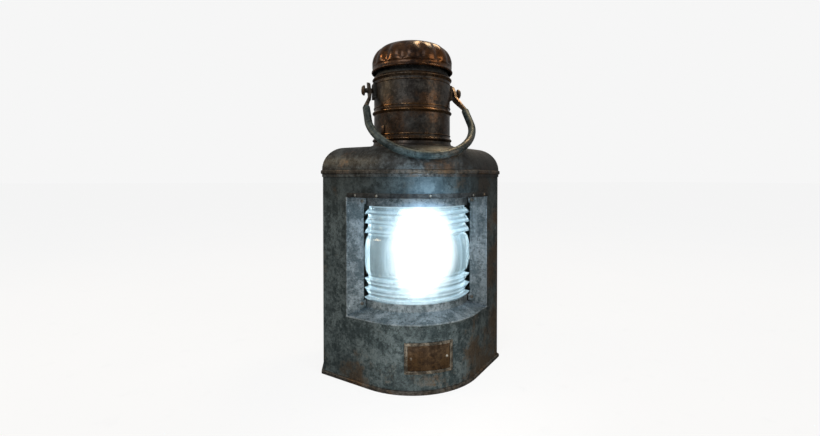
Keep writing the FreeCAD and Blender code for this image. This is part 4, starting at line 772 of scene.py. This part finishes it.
# %% Sleeve
LEG = 88 * MM
CORNER = 55 * MM
DEPTH = 167 * MM
SLEEVE_START = 50 * MM
sleeve_radius = 6 * MM
bail_half = high("bail_grip").x - sleeve_radius
grip_bend = (((bail_half - CORNER) ** 2 + (DEPTH - LEG) ** 2 - CORNER ** 2)
             / (2 * (DEPTH - LEG - CORNER)))
grip_centre = Vector((0, 0, grip_bend - DEPTH))
corner_centre = Vector((-(bail_half - CORNER), 0, -LEG))
corner_turn = math.atan2(grip_centre.z - corner_centre.z, bail_half - CORNER)


def bail_lean():
    """How far the resting bail leans forward, from the place of its lowest point."""
    lowest = low("bail_grip").z - pivot.z + sleeve_radius
    return math.acos(min(1.0, -lowest / DEPTH))


def sleeve():
    """Half of the sleeve hanging straight down, mirrored, closed and leaned forward."""
    mesh = bmesh.new()
    ring_start = [(3.9, 0.0), (5.2, 0.3), (sleeve_radius / MM, 1.6)]
    last = None
    for radius, drop in ring_start:
        made = bmesh.ops.create_circle(mesh, cap_ends=False, radius=radius * MM, segments=20)
        bmesh.ops.translate(mesh, verts=made["verts"],
                            vec=(-bail_half, 0, -SLEEVE_START - drop * MM))
        edges = list({e for v in made["verts"] for e in v.link_edges})
        if last:
            bmesh.ops.bridge_loops(mesh, edges=last + edges)
        last = edges
    for i in range(3):
        grown = bmesh.ops.extrude_edge_only(mesh, edges=last)["geom"]
        verts = [g for g in grown if isinstance(g, bmesh.types.BMVert)]
        last = [g for g in grown if isinstance(g, bmesh.types.BMEdge) and g.is_boundary]
        bmesh.ops.translate(mesh, verts=verts, vec=(0, 0, -(LEG - SLEEVE_START - 1.6 * MM) / 3))
    for centre, turn, steps in ((corner_centre, corner_turn, 12),
                                (grip_centre, math.radians(90) - corner_turn, 18)):
        verts = list({v for e in last for v in e.verts})
        spun = bmesh.ops.spin(mesh, geom=verts + last, cent=centre, axis=(0, -1, 0), angle=turn,
                              steps=steps, use_merge=False, use_duplicate=False)
        last = [g for g in spun["geom_last"] if isinstance(g, bmesh.types.BMEdge)]
    bmesh.ops.remove_doubles(mesh, verts=mesh.verts, dist=0.01 * MM)
    bmesh.ops.mirror(mesh, geom=mesh.verts[:] + mesh.edges[:] + mesh.faces[:], axis="X",
                     matrix=Matrix.Identity(4), merge_dist=0.05 * MM)
    lean = Matrix.Rotation(-bail_lean(), 3, "X")
    bmesh.ops.rotate(mesh, verts=mesh.verts, cent=(0, 0, 0), matrix=lean)
    bmesh.ops.translate(mesh, verts=mesh.verts, vec=pivot)
    return mesh


piece(sleeve(), "bail_sleeve", "bail_grip", "bail", ["bail_grip"], smooth=60)
print("bail leans", round(math.degrees(bail_lean()), 2), "degrees")

# %% [markdown]
# ## Floor and light
# A pale floor and a pale surround stand for the studio. A dark lantern on a bright floor would be
# washed out by it, so both look paler than the light they give back. A broad soft lamp lights the
# front from the upper left, a weaker one the right, a small one the lower nose. Two warm ones skim
# the roof and cap, and a cool one stands for the light that the lens throws on its own niche.

# %% Floor
SKY_SEEN = 0.922
SKY_LIGHT = 0.34
FLOOR_GLOW = 0.885
floor_mesh = bmesh.new()
bmesh.ops.create_grid(floor_mesh, x_segments=1, y_segments=1, size=30)
floor_data = bpy.data.meshes.new("floor")
floor_mesh.to_mesh(floor_data)
floor_mesh.free()
floor_finish = plain("floor", (0.06, 0.06, 0.06), (0.064, 0.064, 0.064), 0.95, 3, 0.00001)
floor_finish.surface.inputs["Specular IOR Level"].default_value = 0.0
glow = floor_finish.add("LightPath").socket.node.outputs["Is Camera Ray"]
floor_finish.set("Emission Color", (1, 1, 1))
floor_finish.set("Emission Strength", Wire(floor_finish, glow) * FLOOR_GLOW)
floor_data.materials.append(floor_finish.material)
floor = bpy.data.objects.new("floor", floor_data)
bpy.context.scene.collection.objects.link(floor)

# %% Lights
def soft_light(name, place, aim, size, power, colour):
    """A square soft light that points at a spot."""
    data = bpy.data.lights.new(name, "AREA")
    data.size = size
    data.energy = power
    data.color = colour
    made = bpy.data.objects.new(name, data)
    made.location = place
    made.rotation_euler = (Vector(aim) - Vector(place)).to_track_quat("-Z", "Y").to_euler()
    made.visible_camera = False
    bpy.context.scene.collection.objects.link(made)
    return made


soft_light("key", (-1.4, -1.9, 1.9), (0, 0, 0.25), 1.2, 25, (0.93, 0.97, 1.0))
soft_light("fill", (1.8, -1.4, 0.9), (0, 0, 0.2), 1.4, 12, (1.0, 0.86, 0.70))
low_lamp = soft_light("low", (-0.06, -0.40, 0.01), (-0.01, -0.12, 0.02), 0.16, 2.9,
                      (1.0, 0.94, 0.86))
soft_light("warm_top", (0.5, 0.3, 1.7), (0, 0, 0.5), 0.5, 14, (1.0, 0.78, 0.48))
soft_light("warm_left", (-1.5, 0.1, 1.1), (0, 0, 0.4), 0.5, 9, (1.0, 0.75, 0.45))
niche_lamp = soft_light("niche", (0.0, -0.20, 0.30), (0, -0.05, 0.2), 0.06, 0.42, (0.60, 0.82, 1.0))

for lamp in (low_lamp, niche_lamp):
    lamp.visible_glossy = False

world = bpy.data.worlds.new("studio")
bpy.context.scene.world = world
world.use_nodes = True
sky = world.node_tree.nodes["Background"]
sky.inputs["Color"].default_value = (1, 1, 1, 1)
seen = world.node_tree.nodes.new("ShaderNodeLightPath").outputs["Is Camera Ray"]
level = world.node_tree.nodes.new("ShaderNodeMapRange")
level.inputs["To Min"].default_value = SKY_LIGHT
level.inputs["To Max"].default_value = SKY_SEEN
world.node_tree.links.new(seen, level.inputs["Value"])
world.node_tree.links.new(level.outputs["Result"], sky.inputs["Strength"])
bpy.context.scene.view_settings.view_transform = "Standard"
print("lights are set")
